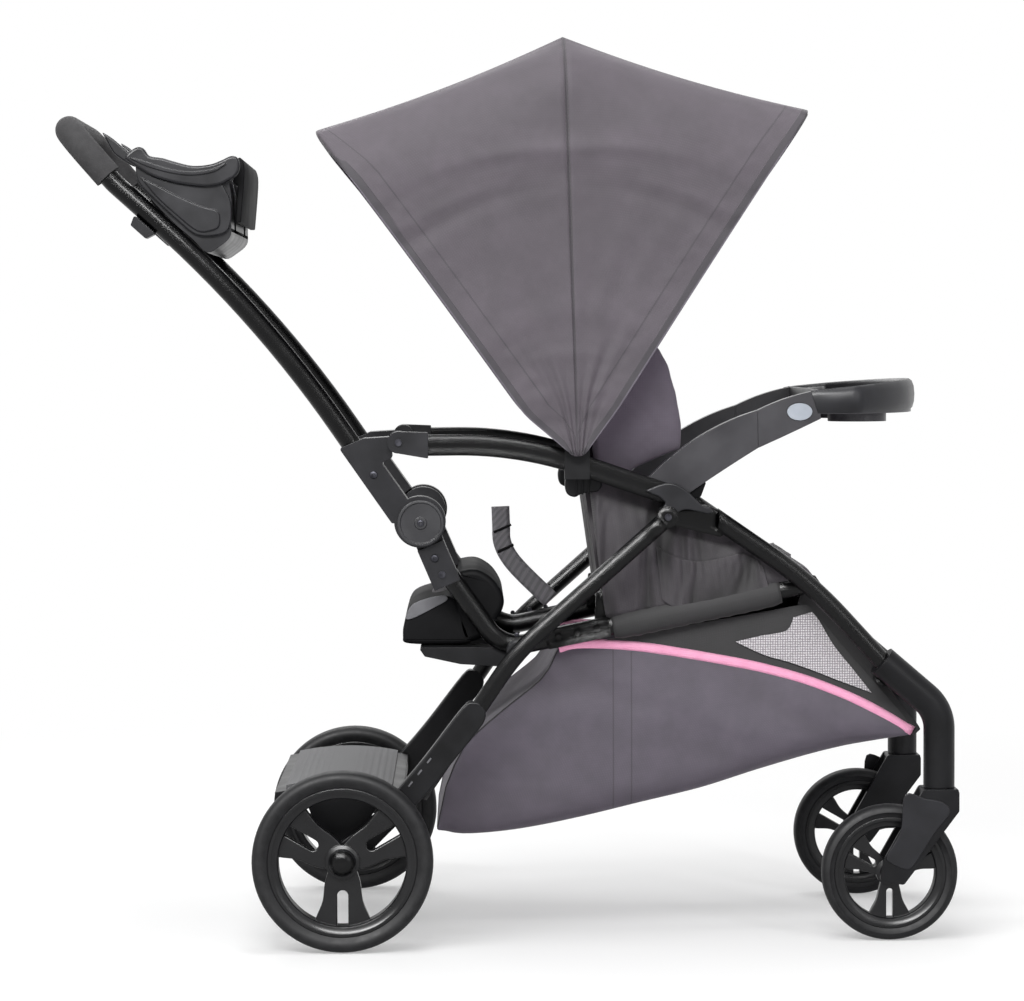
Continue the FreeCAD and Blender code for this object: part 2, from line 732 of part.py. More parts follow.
# Seat parts are placed along the push tubes: distance from their bend, and height over them.
seat_slope = math.atan2(push_end_rise, push_end_run)
seat_side_gap = 4.3
seat_half_width = tube_y - tube_radius - seat_side_gap
board_start, board_end = 160.0, 392.0
board_low = 20.0
board_thickness = 9.0
pad_start, pad_end = 186.0, 398.0
pad_thickness = 34.0
pad_inset = 4.0
pad_channels = 3
channel_depth = 3.0
bar_radius = 8.0
pivot_radius = 6.0
back_pivot_along, back_pivot_height = 143.6, 37.7


def over_tube(distance, height):
    """Side view place at a distance along the push tube and a height over its middle."""
    x = push_bend_x + distance * math.cos(seat_slope) - height * math.sin(seat_slope)
    z = push_bend_z + distance * math.sin(seat_slope) + height * math.cos(seat_slope)
    return x, z


def tube_plate(start, end, low, high):
    """Corners of a plate that lies along the push tube."""
    return [at(*over_tube(start, low)), at(*over_tube(end, low)),
            at(*over_tube(end, high)), at(*over_tube(start, high))]


back_pivot_x, back_pivot_z = over_tube(back_pivot_along, back_pivot_height)


def seat_cross_bars():
    """Bars between the push tubes, and the pivot bar of the seat back on its two ears."""
    shapes = []
    cutters = both_sides(swept(push_path(-1), tube_radius))
    for distance in (board_start + 3 * bar_radius, board_end - 2 * bar_radius):
        x, z = over_tube(distance, board_low - bar_radius - seat_gap)
        bar = cross_bar(x, z, bar_radius, tube_y)
        shapes.append(largest(bar.cut(cutters)))
    pivot = cross_bar(back_pivot_x, back_pivot_z, pivot_radius, seat_half_width + pivot_radius)
    top_half = pivot_radius + pad_inset
    foot_z = back_pivot_z - 3 * tube_radius
    ear = slab(rounded([at(back_pivot_x - top_half, back_pivot_z + top_half),
                        at(back_pivot_x + top_half, back_pivot_z + top_half),
                        at(back_pivot_x + tube_radius, foot_z), at(back_pivot_x - tube_radius, foot_z)],
                       pivot_radius / 2), seat_half_width - pad_inset, seat_half_width + pad_inset)
    shapes.append(pivot.fuse(both_sides(ear)).cut(cutters).removeSplitter())
    save("seat_cross_bars", shapes)


bracket_start, bracket_end = 58.0, 142.0
bracket_thickness = 2.4
rivet_radius = 4.0
rivet_shares = (0.2, 0.5, 0.8)


def seat_brackets():
    """Riveted plates on the outer sides of the push tubes."""
    inner = tube_y + tube_radius - tube_wall
    outer = inner + bracket_thickness
    plate = slab(rounded(tube_plate(bracket_start, bracket_end, -tube_radius, tube_radius), rivet_radius),
                 inner, outer)
    for share in rivet_shares:
        x, z = over_tube(bracket_start + share * (bracket_end - bracket_start), 0)
        plate = plate.fuse(disc(x, z, rivet_radius, inner, outer + tube_wall))
    save("seat_brackets", both_sides(largest(plate.cut(swept(push_path(-1), tube_radius)))))


def seat_base():
    board = tube_plate(board_start, board_end, board_low, board_low + board_thickness)
    save("seat_base", [slab(polygon(board), -seat_half_width, seat_half_width)])


waist_share = 0.55
cheek_share = 0.3
bulge_share = 0.02
end_width_share = 0.94
end_share = 0.06


def cushion(corner, along, up, length, thickness, half_width, channels):
    """A stuffed form: crowned top, drawn-in sides and sewn channels across its length."""
    sections = []
    stations = 2 * channels + 1
    for i in range(stations + 1):
        share = i / stations
        swell = math.sin(math.pi * (end_share + (1 - 2 * end_share) * share)) ** (1 / 3)
        groove = channel_depth if (i % 2 == 0 and 0 < i < stations) else 0.0
        top = thickness * swell - groove
        width = half_width * (end_width_share + (1 - end_width_share) * swell)
        near = corner + along * (length * share) - V(0, width, 0)
        far = near + V(0, 2 * width, 0)
        waist = up * (waist_share * top)
        cheek = up * (cheek_share * top)
        bulge = V(0, bulge_share * width, 0)
        crown = (near + far) * 0.5 + up * top
        edges = [Part.Arc(near, near + cheek - bulge, near + waist).toShape(),
                 Part.Arc(near + waist, crown, far + waist).toShape(),
                 Part.Arc(far + waist, far + cheek + bulge, far).toShape(),
                 Part.LineSegment(far, near).toShape()]
        sections.append(Part.Wire(edges))
    return Part.makeLoft(sections, True, False)


def seat_pad():
    start = at(*over_tube(pad_start, board_low + board_thickness + seat_gap))
    along = (at(*over_tube(pad_end, 0)) - at(*over_tube(pad_start, 0))).normalize()
    up = V(0, -1, 0).cross(along)
    save("seat_pad", [cushion(start, along, up, pad_end - pad_start, pad_thickness,
                              seat_half_width - pad_inset, pad_channels)])


side_panel_step = 6.0
side_panel_y = tube_y + side_panel_step
fabric = 1.6
side_rounding = 2.0
side_start, side_end = 136.0, 400.0
side_shares = [(1.0982, 0.1602), (1.0, 0.2377), (0.845, 0.3514), (0.6899, 0.4367), (0.509, 0.5065),
               (0.3488, 0.5788), (0.3178, 0.5581), (0.3282, 0.3204)]


def seat_sides():
    """Fabric sides of the seat hammock, hung between rail and push tube."""
    low = math.sqrt(tube_radius ** 2 - (side_panel_y - tube_y) ** 2) + seat_gap
    corners = [at(*over_tube(side_start, low)), at(*over_tube(side_end, low))]
    corners += spread(push_bend_x, push_bend_z, push_end_run, side_shares)
    save("seat_sides", both_sides(slab(rounded(corners, side_rounding), side_panel_y, side_panel_y + fabric)))


hem_start, hem_end = 146.0, 366.0
hem_height, hem_half = 17.5, 13.0
hem_rounding = 4.0


def seat_hems():
    """Padded cloth sleeves that hold the seat sides to the push tubes."""
    band = slab(rounded(tube_plate(hem_start, hem_end, -hem_height, -seat_gap), hem_rounding),
                tube_y - hem_half, tube_y + hem_half)
    save("seat_hems", both_sides(largest(band.cut(swept(push_path(-1), tube_radius + seat_gap)))))


clip_half_length, clip_half_height = 14.0, 11.0
clip_back, clip_rise = 28.0, 146.0
clip_rounding = 4.0
clip_proud = 3.0


def recline_clips():
    """Ridged clips on the strap that sets the lean of the seat back."""
    x, z = back_pivot_x - clip_back, back_pivot_z + clip_rise
    body = slab(rounded([at(x - clip_half_length, z - clip_half_height),
                         at(x + clip_half_length, z - clip_half_height / 2),
                         at(x + clip_half_length, z + clip_half_height),
                         at(x - clip_half_length, z + clip_half_height)], clip_rounding),
                side_panel_y - clip_half_height, side_panel_y + clip_proud)
    half = clip_half_height / 2
    strap = slab(polygon([at(x, z - half), at(x + 2 * clip_half_length, z - half),
                          at(x + 2 * clip_half_length, z + half), at(x, z + half)]),
                 side_panel_y - 2 * fabric, side_panel_y - seat_gap)
    save("recline_clips", both_sides(body.fuse(strap).removeSplitter()))


# Seat back, pad and side wings, all leaning back a little.
back_lean_angle = -8.0
back_length = 342.0
back_thickness = 10.0
back_side_gap = 5.0
back_half_width = seat_half_width - back_side_gap
back_sleeve = 10.0
back_pad_start = 18.0
back_pad_thickness = 30.0
back_channels = 4
wing_thickness = 18.0
wing_rounding = 5.0
wing_shares = [(0.117, 0.0526), (0.1696, 0.4386), (0.385, 0.51), (0.401, 0.602), (0.397, 0.7266),
               (0.378, 0.8386), (0.344, 0.914), (0.269, 0.985), (0.0155, 1.0)]


def leant(shape):
    return turned_about(shape, back_pivot_x, back_pivot_z, back_lean_angle)


def seat_back():
    sleeve_half = seat_half_width - pad_inset - 2 * seat_gap
    board = Part.makeBox(back_thickness, 2 * back_half_width, back_length,
                         at(back_pivot_x - back_thickness / 2, back_pivot_z, -back_half_width))
    board = leant(board).fuse(cross_bar(back_pivot_x, back_pivot_z, back_sleeve, sleeve_half))
    bore = cross_bar(back_pivot_x, back_pivot_z, pivot_radius + running_gap, seat_half_width + overrun)
    save("seat_back", [board.cut(bore).removeSplitter()])


def seat_back_pad():
    """Quilted pad with the two side wings that stand forward beside the child's head."""
    corner = at(back_pivot_x + back_thickness / 2 + seat_gap, back_pivot_z + back_pad_start)
    pad = cushion(corner, V(0, 0, 1), V(1, 0, 0), back_length - back_pad_start, back_pad_thickness,
                  back_half_width - 2 * wing_thickness, back_channels)
    outline = [corner] + spread(back_pivot_x, back_pivot_z, back_length, wing_shares)
    wing = slab(rounded(outline, wing_rounding), back_half_width - wing_thickness, back_half_width)
    save("seat_back_pad", [leant(shape) for shape in [pad] + both_sides(wing)])


strap_width = 30.0
strap_thickness = 2.0
strap_y = 52.0
strap_sink = 1.4
strap_start_share = 0.3
strap_length_share = 0.52


def shoulder_straps():
    """Harness webbing that lies over the pad of the seat back."""
    front = back_thickness / 2 + back_pad_thickness + seat_gap - strap_sink
    start = back_pivot_z + strap_start_share * back_length
    straps = []
    for side in near_and_far:
        block = Part.makeBox(strap_thickness, strap_width, strap_length_share * back_length,
                             at(back_pivot_x + front, start, side * strap_y - strap_width / 2))
        straps.append(leant(block))
    save("shoulder_straps", straps)


buckle_half = 22.0
buckle_height = 16.0


def harness_buckle():
    """Buckle at the middle of the seat pad."""
    lift = board_low + board_thickness + pad_thickness + 2 * seat_gap
    x, z = over_tube((pad_start + pad_end) / 2, lift)
    corner = at(x - buckle_half, z, -buckle_half)
    block = Part.makeBox(2 * buckle_half, 2 * buckle_half, buckle_height, corner)
    block = block.makeFillet(buckle_height / 3, block.Edges)
    save("harness_buckle", [turned_about(block, x, z, -math.degrees(seat_slope))])


leg_rest_thickness = 9.0
leg_rest_crown = 14.0
leg_rest_gap = 3.0


def leg_rest():
    """Padded cloth from the front of the seat down to the crossbar."""
    top = at(*over_tube(pad_end + leg_rest_gap, board_low + board_thickness))
    low = at(crossbar_x + crossbar_radius + leg_rest_gap, crossbar_z + crossbar_radius)
    out = V(0, 1, 0).cross(low - top).normalize()
    face = out * leg_rest_thickness
    crown = (top + low) * 0.5 + out * (leg_rest_thickness + leg_rest_crown)
    edges = [Part.Arc(top + face, crown, low + face).toShape(), Part.LineSegment(low + face, low).toShape(),
             Part.LineSegment(low, top).toShape(), Part.LineSegment(top, top + face).toShape()]
    cloth = slab(Part.Wire(edges), -seat_half_width, seat_half_width)
    save("leg_rest", [cloth.cut(cross_bar(crossbar_x, crossbar_z, crossbar_radius + seat_gap, front_leg_y))])


# Rear jump seat on its bracket, with its pad and belt, hung behind the push tubes' bend.
jump_side_gap = 27.0
jump_half_width = tube_y - jump_side_gap
jump_length = 134.0
jump_rounding = 5.0
jump_shares = [(-0.9627, 0.0149), (-0.9776, 0.3134), (-0.8881, 0.4328), (-0.3955, 0.4776),
               (-0.3209, 0.7015), (-0.1269, 0.7612), (0.0373, 0.5672), (0.0224, 0.2985), (-0.1269, 0.209),
               (-0.2463, 0.0149)]
dip_shares = [(-0.7687, 0.1194), (-0.7687, 0.9254), (0.2015, 0.9254), (-0.0522, 0.4478), (-0.2015, 0.3582),
              (-0.3955, 0.1194)]
dip_margin = 20.0
jump_pad_margin = 24.0
jump_pad_shares = [(-0.7239, 0.1216)]
jump_pad_length = 38.0
jump_pad_thickness = 58.0
jump_bracket_shares = [(-0.7985, 0.0127), (-0.2612, 0.0127), (-0.0522, 0.0075), (0.1567, -0.0746),
                       (0.0821, -0.1791), (-0.3955, -0.1493), (-0.7388, -0.0746)]
jump_arm_width = 57.0
jump_bracket_inner = tube_y - jump_arm_width
jump_bar_shares = [(-0.3955, -0.0746)]


def rear_seat():
    outline = rounded(spread(push_bend_x, push_bend_z, jump_length, jump_shares), jump_rounding)
    dip = rounded(spread(push_bend_x, push_bend_z, jump_length, dip_shares), jump_rounding)
    hollow_half = jump_half_width - dip_margin
    body = slab(outline, -jump_half_width, jump_half_width)
    save("rear_seat", [body.cut(slab(dip, -hollow_half, hollow_half))])


def rear_seat_pad():
    corner = spread(push_bend_x, push_bend_z, jump_length, jump_pad_shares)[0]
    save("rear_seat_pad", [cushion(corner, V(1, 0, 0), V(0, 0, 1), jump_pad_length, jump_pad_thickness,
                                   jump_half_width - jump_pad_margin, 1)])


def rear_seat_bracket():
    """Arms from the push tubes' bend that carry the jump seat."""
    outline = rounded(spread(push_bend_x, push_bend_z, jump_length, jump_bracket_shares), jump_rounding / 2)
    arm = slab(outline, jump_bracket_inner, tube_y)
    arm = largest(arm.cut(swept(push_path(-1), tube_radius)))
    middle = spread(push_bend_x, push_bend_z, jump_length, jump_bar_shares)[0]
    bar = Part.makeCylinder(bar_radius, 2 * jump_half_width, middle - V(0, jump_half_width, 0), V(0, 1, 0))
    save("rear_seat_bracket", [bar.fuse(both_sides(arm)).removeSplitter()])


belt_width = 25.0
belt_thickness = 2.2
belt_length = 134.0
belt_radii = (40.0, 60.0)
belt_shares = [(-0.0821, 1.2388), (-0.1119, 0.8657), (0.1045, 0.5522), (0.403, 0.2612)]


def rear_belt():
    """Webbing that stands up from the far rear leg for the rider at the back."""
    path = bent_path(spread(cross_x, cross_z, belt_length, belt_shares), belt_radii)
    first = path.Edges[0]
    start = first.valueAt(first.FirstParameter)
    across = first.tangentAt(first.FirstParameter).cross(V(0, 1, 0)) * (belt_width / 2)
    thick = V(0, belt_thickness, 0)
    profile = polygon([start - across, start + across, start + across + thick, start - across + thick])
    body = path.makePipeShell([profile], True, False)
    body.translate(V(0, rear_leg_y - leg_diameter / 2 - seat_gap - belt_thickness, 0))
    save("rear_belt", [body])


# Child tray on two arms that stand up from the junctions.
tray_arm_inner_step, tray_arm_outer_step = 1.0, 24.5
tray_arm_inner_y, tray_arm_outer_y = tube_y + tray_arm_inner_step, tube_y + tray_arm_outer_step
tray_reach = 335.0
arm_top_shares = [(-0.0866, 0.1284), (0.1104, 0.2955), (0.3463, 0.403)]
arm_low_shares = [(0.3493, 0.2597), (0.2448, 0.194), (0.0746, 0.0806)]
arm_foot_shares = [(-0.0149, 0.0806)]
tray_slope = math.radians(24.0)
tongue_half_height = 8.0
tongue_wall = 5.0
tongue_back, tongue_front = 26.0, 30.0


def tray_tongue(clear):
    """The tongue of the tray end, or with a clearance the pocket it slides into."""
    along = V(math.cos(tray_slope), 0, math.sin(tray_slope))
    up = V(-along.z, 0, along.x) * (tongue_half_height + clear)
    ends = spread(leg_pivot_x, leg_pivot_z, tray_reach, (arm_top_shares[-1], arm_low_shares[0]))
    middle = (ends[0] + ends[1]) * 0.5
    back = middle - along * (tongue_back + clear)
    front = middle + along * tongue_front
    return slab(polygon([back - up, front - up, front + up, back + up]),
                tray_arm_inner_y + tongue_wall - clear, tray_arm_outer_y - tongue_wall + clear)


def tray_arms():
    top = spread(leg_pivot_x, leg_pivot_z, tray_reach, arm_top_shares)
    low = spread(leg_pivot_x, leg_pivot_z, tray_reach, arm_low_shares)
    foot = spread(leg_pivot_x, leg_pivot_z, tray_reach, arm_foot_shares)[0]
    edges = [Part.Arc(*top).toShape(), Part.LineSegment(top[-1], low[0]).toShape(), Part.Arc(*low).toShape(),
             Part.LineSegment(low[-1], foot).toShape(), Part.LineSegment(foot, top[0]).toShape()]
    arm = slab(Part.Wire(edges), tray_arm_inner_y, tray_arm_outer_y)
    save("tray_arms", both_sides(arm.cut(tray_tongue(seat_gap))))


tray_rear_share = 0.5701
tray_shoulder_share = 0.7313
end_top_shares = [(0.3472, 0.403), (0.4627, 0.4507), (0.5881, 0.4806)]
end_low_shares = [(0.5881, 0.3701), (0.4687, 0.3134), (0.3501, 0.2597)]
tray_rise = 161.0
tray_depth = 31.0
tray_wall = 4.0
tray_cup_radius = 38.0
tray_cup_drop = 11.0
tray_floor_rise = 15.0
tray_cup_y = 104.0
tray_cup_share = 0.755224
button_shares = [(0.5075, 0.397)]
button_length, button_height = 32.0, 22.0
button_proud = 1.5
button_depth = 6.0
button_travel = 3.0
tray_top_z = leg_pivot_z + tray_rise
tray_low_z = tray_top_z - tray_depth


def tray_plan(inset, z):
    """Plan view of the tray dish: straight behind, one wide curve in front."""
    half = tray_arm_outer_y - inset
    rear = leg_pivot_x + tray_rear_share * tray_reach + inset
    shoulder = leg_pivot_x + tray_shoulder_share * tray_reach
    front = leg_pivot_x + tray_reach - inset
    edges = [Part.LineSegment(at(rear, z, -half), at(shoulder, z, -half)).toShape(),
             Part.Arc(at(shoulder, z, -half), at(front, z), at(shoulder, z, half)).toShape(),
             Part.LineSegment(at(shoulder, z, half), at(rear, z, half)).toShape(),
             Part.LineSegment(at(rear, z, half), at(rear, z, -half)).toShape()]
    return Part.Face(Part.Wire(edges))


def child_tray():
    """A skirted dish with two cup wells in its floor and an end on each side that meets its arm."""
    floor_z = tray_low_z + tray_floor_rise
    dish = tray_plan(0, tray_low_z).extrude(V(0, 0, tray_depth))
    hollow = tray_plan(tray_wall, floor_z + tray_wall).extrude(V(0, 0, tray_depth))
    under = tray_plan(tray_wall, tray_low_z - overrun).extrude(V(0, 0, tray_floor_rise + overrun))
    ends = slab(curved(spread(leg_pivot_x, leg_pivot_z, tray_reach, end_top_shares),
                       spread(leg_pivot_x, leg_pivot_z, tray_reach, end_low_shares)),
                tray_arm_inner_y, tray_arm_outer_y)
    body = dish.fuse(both_sides(ends)).cut([hollow, under])
    cup_x = leg_pivot_x + tray_cup_share * tray_reach
    for y in (-tray_cup_y, tray_cup_y):
        body = body.fuse(Part.makeCylinder(tray_cup_radius, tray_cup_drop + tray_floor_rise + tray_wall,
                                           at(cup_x, tray_low_z - tray_cup_drop, y), V(0, 0, 1)))
    for y in (-tray_cup_y, tray_cup_y):
        base = at(cup_x, tray_low_z - tray_cup_drop + tray_wall, y)
        body = body.cut(Part.makeCylinder(tray_cup_radius - tray_wall, tray_cup_drop + tray_depth, base,
                                          V(0, 0, 1)))
    pocket = button_shape(seat_gap, button_depth + button_travel + seat_gap)
    body = body.cut(both_sides(pocket)).fuse(both_sides(tray_tongue(0)))
    save("child_tray", [body.removeSplitter()])


def button_shape(clear, depth):
    """An oval plug let into the tray's end from outside."""
    oval = Part.Ellipse(V(0, 0, 0), button_length / 2 + clear, button_height / 2 + clear)
    face = Part.Face(Part.Wire(oval.toShape()))
    face.rotate(V(0, 0, 0), V(1, 0, 0), 90)
    middle = spread(leg_pivot_x, leg_pivot_z, tray_reach, button_shares)[0]
    face.translate(middle - V(0, tray_arm_outer_y + button_proud, 0))
    return face.extrude(V(0, depth + button_proud, 0))


def tray_buttons():
    plug = button_shape(0, button_depth)
    save("tray_button_r", [plug])
    save("tray_button_l", [mirrored(plug)])


# Canopy: three bows that turn on one hub each side, and two cloth panels between them.
rear_bow_angle = 129.5
mid_bow_angle = 91.65
front_bow_angle = 55.0
bow_angles = {"rear": rear_bow_angle, "mid": mid_bow_angle, "front": front_bow_angle}
first_bow_step = 40.0
first_bow_y = tube_y + first_bow_step
bow_step = 2.6
bow_gap = 4.4
bow_corner = 88.0
bow_thickness = 2.3
bow_width = 8.0
bow_eye = 10.0
hub_pin_radius = 4.0
hub_plate_radius = 16.0
hub_clip_drop = 45.0
canopy_radius = 524.0
bow_radius = canopy_radius - bow_gap
canopy_foot = 30.0
panel_gap_angle = 0.25
last_bow_y = first_bow_y + 2 * bow_step + bow_thickness
canopy_half_width = last_bow_y + seat_gap + fabric


def plan_points(radius, half, bend):
    """One leg of a U in plan and the arc into its far end."""
    turn = bend * (1 - math.sqrt(0.5))
    return [V(0, -half, 0), V(radius - bend, -half, 0), V(radius - turn, turn - half, 0),
            V(radius, bend - half, 0)]


def u_wire(outer, half_width, corner, wall, foot):
    """A U of even wall in plan: legs along X from the foot, closed across the far end."""
    edges = []
    for inset in (0, wall):
        near = plan_points(outer - inset, half_width - inset, corner - inset)
        near[0] = near[0] + V(foot, 0, 0)
        far = [V(p.x, -p.y, 0) for p in near]
        edges += [Part.LineSegment(near[0], near[1]).toShape(), Part.Arc(*near[1:]).toShape(),
                  Part.LineSegment(near[3], far[3]).toShape(), Part.Arc(far[3], far[2], far[1]).toShape(),
                  Part.LineSegment(far[1], far[0]).toShape()]
    for sign in near_and_far:
        edges.append(Part.LineSegment(V(foot, sign * half_width, 0),
                                      V(foot, sign * (half_width - wall), 0)).toShape())
    return Part.Wire(Part.__sortEdges__(edges))


def stand_up(shape, angle):
    """Turn a plan shape about the hub line to its angle over the horizon and move it there."""
    copy = shape.copy()
    copy.rotate(V(0, 0, 0), V(0, 1, 0), -angle)
    copy.translate(at(hub_x, hub_z))
    return copy


def canopy_bows():
    for i, (name, angle) in enumerate(bow_angles.items()):
        inner = first_bow_y + i * bow_step
        outer = inner + bow_thickness
        strip = Part.Face(u_wire(bow_radius, outer, bow_corner, bow_thickness, 0))
        strip.translate(V(0, 0, -bow_width / 2))
        bow = strip.extrude(V(0, 0, bow_width))
        for low in (-outer, inner):
            bow = bow.fuse(Part.makeCylinder(bow_eye, bow_thickness, V(0, low, 0), V(0, 1, 0)))
        bow = bow.cut(Part.makeCylinder(hub_pin_radius + running_gap, 4 * outer, V(0, -2 * outer, 0),
                                        V(0, 1, 0)))
        save("canopy_" + name + "_bow", [stand_up(bow.removeSplitter(), angle)])


def canopy_panels():
    spans = {"rear": (bow_angles["rear"] + panel_gap_angle, bow_angles["mid"] + panel_gap_angle),
             "front": (bow_angles["mid"] - panel_gap_angle, bow_angles["front"] - panel_gap_angle)}
    strip = u_wire(canopy_radius, canopy_half_width, bow_corner, fabric, canopy_foot)
    for name, angles in spans.items():
        ends = [stand_up(strip, angle) for angle in angles]
        save("canopy_" + name + "_panel", [Part.makeLoft(ends, True, True)])


def canopy_hubs():
    """Clip over the rail with the pin that the bows turn on."""
    outer = first_bow_y - seat_gap
    body = disc(hub_x, hub_z, hub_plate_radius, rail_y - rail_width, outer)
    low_z = hub_z - hub_clip_drop
    clip = slab(polygon([at(hub_x - hub_plate_radius, hub_z), at(hub_x + hub_plate_radius, hub_z),
                         at(hub_x + hub_plate_radius, low_z), at(hub_x - hub_plate_radius, low_z)]),
                rail_y - rail_width / 2 - 2 * tube_wall, outer)
    pin = disc(hub_x, hub_z, hub_pin_radius, rail_y, last_bow_y + hub_pin_radius)
    head = disc(hub_x, hub_z, bow_eye, last_bow_y + seat_gap, last_bow_y + hub_pin_radius)
    body = body.fuse([clip, pin, head]).cut(rail_bar(rail_height / 2, rail_width / 2))
    save("canopy_hubs", both_sides(largest(body.removeSplitter())))


# Storage basket: an open cloth tub hung under the push tubes.
basket_side_gap = 3.0
basket_half_width = tube_y - basket_side_gap
basket_wall = 2.0
basket_length = 617.0
basket_rim_rise = 150.0
basket_shares = [(-0.1361, -0.3955), (0.1248, -0.3712), (0.4133, -0.3112), (0.8639, -0.201),
                 (0.8639, -0.1718), (0.6418, 0.0859), (0.6207, 0.0875), (0.1248, 0.0),
                 (-0.0032, -0.081), (-0.0697, -0.1491), (-0.0989, -0.2739)]
mouth_shares = [(-0.1329, -0.3922), (0.1248, -0.3679), (0.4133, -0.3079), (0.8606, -0.1977),
                (0.8606, 0.0389), (0.5786, 0.1945), (-0.0032, 0.1621), (-0.0032, -0.081),
                (-0.0697, -0.1491), (-0.0956, -0.2739)]


def basket():
    """The tub, hollowed from above through its open mouth."""
    body = slab(polygon(spread(push_bend_x, push_bend_z, basket_length, basket_shares)),
                -basket_half_width, basket_half_width)
    inner_half = basket_half_width - basket_wall
    hollow = slab(polygon(spread(push_bend_x, push_bend_z, basket_length, mouth_shares)),
                  -inner_half, inner_half)
    save("basket", [body.cut(hollow)])


def frame_screws():
    """Screw heads that show on the near and far faces of the frame."""
    heads = []
    places = [(leg_pivot_x, leg_pivot_z, rear_leg_y), (latch_x, latch_z, rail_end_outer),
              (hinge_x + sleeve_run - ear_radius / 2, hinge_z - sleeve_drop + ear_radius,
               tube_y + sleeve_half_width)]
    for x, z, y in places:
        heads.extend(both_sides(disc(x, z, screw_diameter / 2, y, y + screw_head)))
    save("frame_screws", heads)


handle_tube()
handle_grip()
parent_console()
fold_trigger(-1, "fold_trigger_r")
fold_trigger(1, "fold_trigger_l")
upper_hinges()
hinge_caps()
push_tubes()
lower_hinges()
side_rails()
rail_ends()
rear_legs()
cross_pivots()
junctions()
front_legs()
caster_housings()
front_crossbar()
wheels()
rear_axle()
caster_fork(-1, "caster_fork_r")
caster_fork(1, "caster_fork_l")
rear_brackets()
standing_platform()
platform_tread()
brake_pedal()
seat_cross_bars()
seat_brackets()
seat_base()
seat_pad()
seat_sides()
seat_hems()
recline_clips()
seat_back()
seat_back_pad()
shoulder_straps()
harness_buckle()
leg_rest()
rear_seat()
rear_seat_pad()
rear_seat_bracket()
rear_belt()
tray_arms()
child_tray()
tray_buttons()
canopy_bows()
canopy_panels()
canopy_hubs()
basket()
frame_screws()
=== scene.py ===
import math
import bpy
import numpy as np
from mathutils import Matrix, Vector


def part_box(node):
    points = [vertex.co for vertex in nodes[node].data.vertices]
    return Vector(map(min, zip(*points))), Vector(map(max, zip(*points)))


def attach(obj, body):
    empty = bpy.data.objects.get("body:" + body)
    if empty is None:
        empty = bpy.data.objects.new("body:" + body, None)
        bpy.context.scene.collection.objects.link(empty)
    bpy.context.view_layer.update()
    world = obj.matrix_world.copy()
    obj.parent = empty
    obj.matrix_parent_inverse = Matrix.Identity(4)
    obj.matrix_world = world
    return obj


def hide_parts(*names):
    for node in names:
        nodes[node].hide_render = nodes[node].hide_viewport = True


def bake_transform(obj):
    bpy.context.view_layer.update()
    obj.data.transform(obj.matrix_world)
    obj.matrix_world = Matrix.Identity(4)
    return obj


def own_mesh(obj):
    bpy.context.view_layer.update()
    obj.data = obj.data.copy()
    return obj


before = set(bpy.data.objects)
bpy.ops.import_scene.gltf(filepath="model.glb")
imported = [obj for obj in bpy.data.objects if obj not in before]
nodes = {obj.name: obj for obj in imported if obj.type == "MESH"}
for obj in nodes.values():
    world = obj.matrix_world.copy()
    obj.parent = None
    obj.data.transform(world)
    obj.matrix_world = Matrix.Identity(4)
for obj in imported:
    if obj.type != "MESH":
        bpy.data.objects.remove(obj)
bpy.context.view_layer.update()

print("frame loaded,", len(nodes), "nodes")

# Side view places are in mm ahead of the rear axle and above the floor; the near side is -Y.
middleX = 209.1


def place(x, z, y=0.0):
    return Vector(((x - middleX) / 1000, y / 1000, z / 1000))


def selectOnly(obj):
    bpy.ops.object.select_all(action="DESELECT")
    obj.select_set(True)
    bpy.context.view_layer.objects.active = obj


def editAll(obj):
    selectOnly(obj)
    bpy.ops.object.mode_set(mode="EDIT")
    bpy.ops.mesh.select_all(action="SELECT")


def nameNew(name):
    obj = bpy.context.active_object
    obj.name = name
    obj.data.name = name
    return obj


def applyModifier(obj, kind, **settings):
    selectOnly(obj)
    modifier = obj.modifiers.new(kind.title(), kind)
    for key, value in settings.items():
        setattr(modifier, key, value)
    bpy.ops.object.modifier_apply(modifier=modifier.name)


def closeUp(obj, merge=0.00002):
    # doubles merged, strays removed and faces turned outwards
    editAll(obj)
    bpy.ops.mesh.remove_doubles(threshold=merge)
    bpy.ops.mesh.dissolve_degenerate(threshold=merge)
    bpy.ops.mesh.select_all(action="SELECT")
    bpy.ops.mesh.delete_loose()
    bpy.ops.mesh.select_all(action="SELECT")
    bpy.ops.mesh.normals_make_consistent(inside=False)
    bpy.ops.object.mode_set(mode="OBJECT")


def shadeByAngle(obj, degrees=35.0):
    selectOnly(obj)
    bpy.ops.object.shade_smooth_by_angle(angle=math.radians(degrees))
    for polygon in obj.data.polygons:
        if len(polygon.vertices) > 8:
            polygon.use_smooth = False  # the wide flat sides stay flat beside their rounded rims


def smoothLine(points, steps=4, closed=True, corners=()):
    # a curve through given points, sharp at the numbered corners
    points = [Vector(p) for p in points]
    count = len(points)
    line = []
    for i in range(count if closed else count - 1):
        before, start = points[i - 1], points[i]
        end, after = points[(i + 1) % count], points[(i + 2) % count]
        if not closed:
            before = points[max(i - 1, 0)]
            after = points[min(i + 2, count - 1)]
        out = (end - before) / 2 if i not in corners else (end - start) * 0.6
        into = (after - start) / 2 if (i + 1) % count not in corners else (end - start) * 0.6
        for k in range(steps):
            t = k / steps
            line.append(start * (2 * t ** 3 - 3 * t ** 2 + 1) + out * (t ** 3 - 2 * t ** 2 + t)
                        + end * (3 * t ** 2 - 2 * t ** 3) + into * (t ** 3 - t ** 2))
    if not closed:
        line.append(points[-1])
    return line


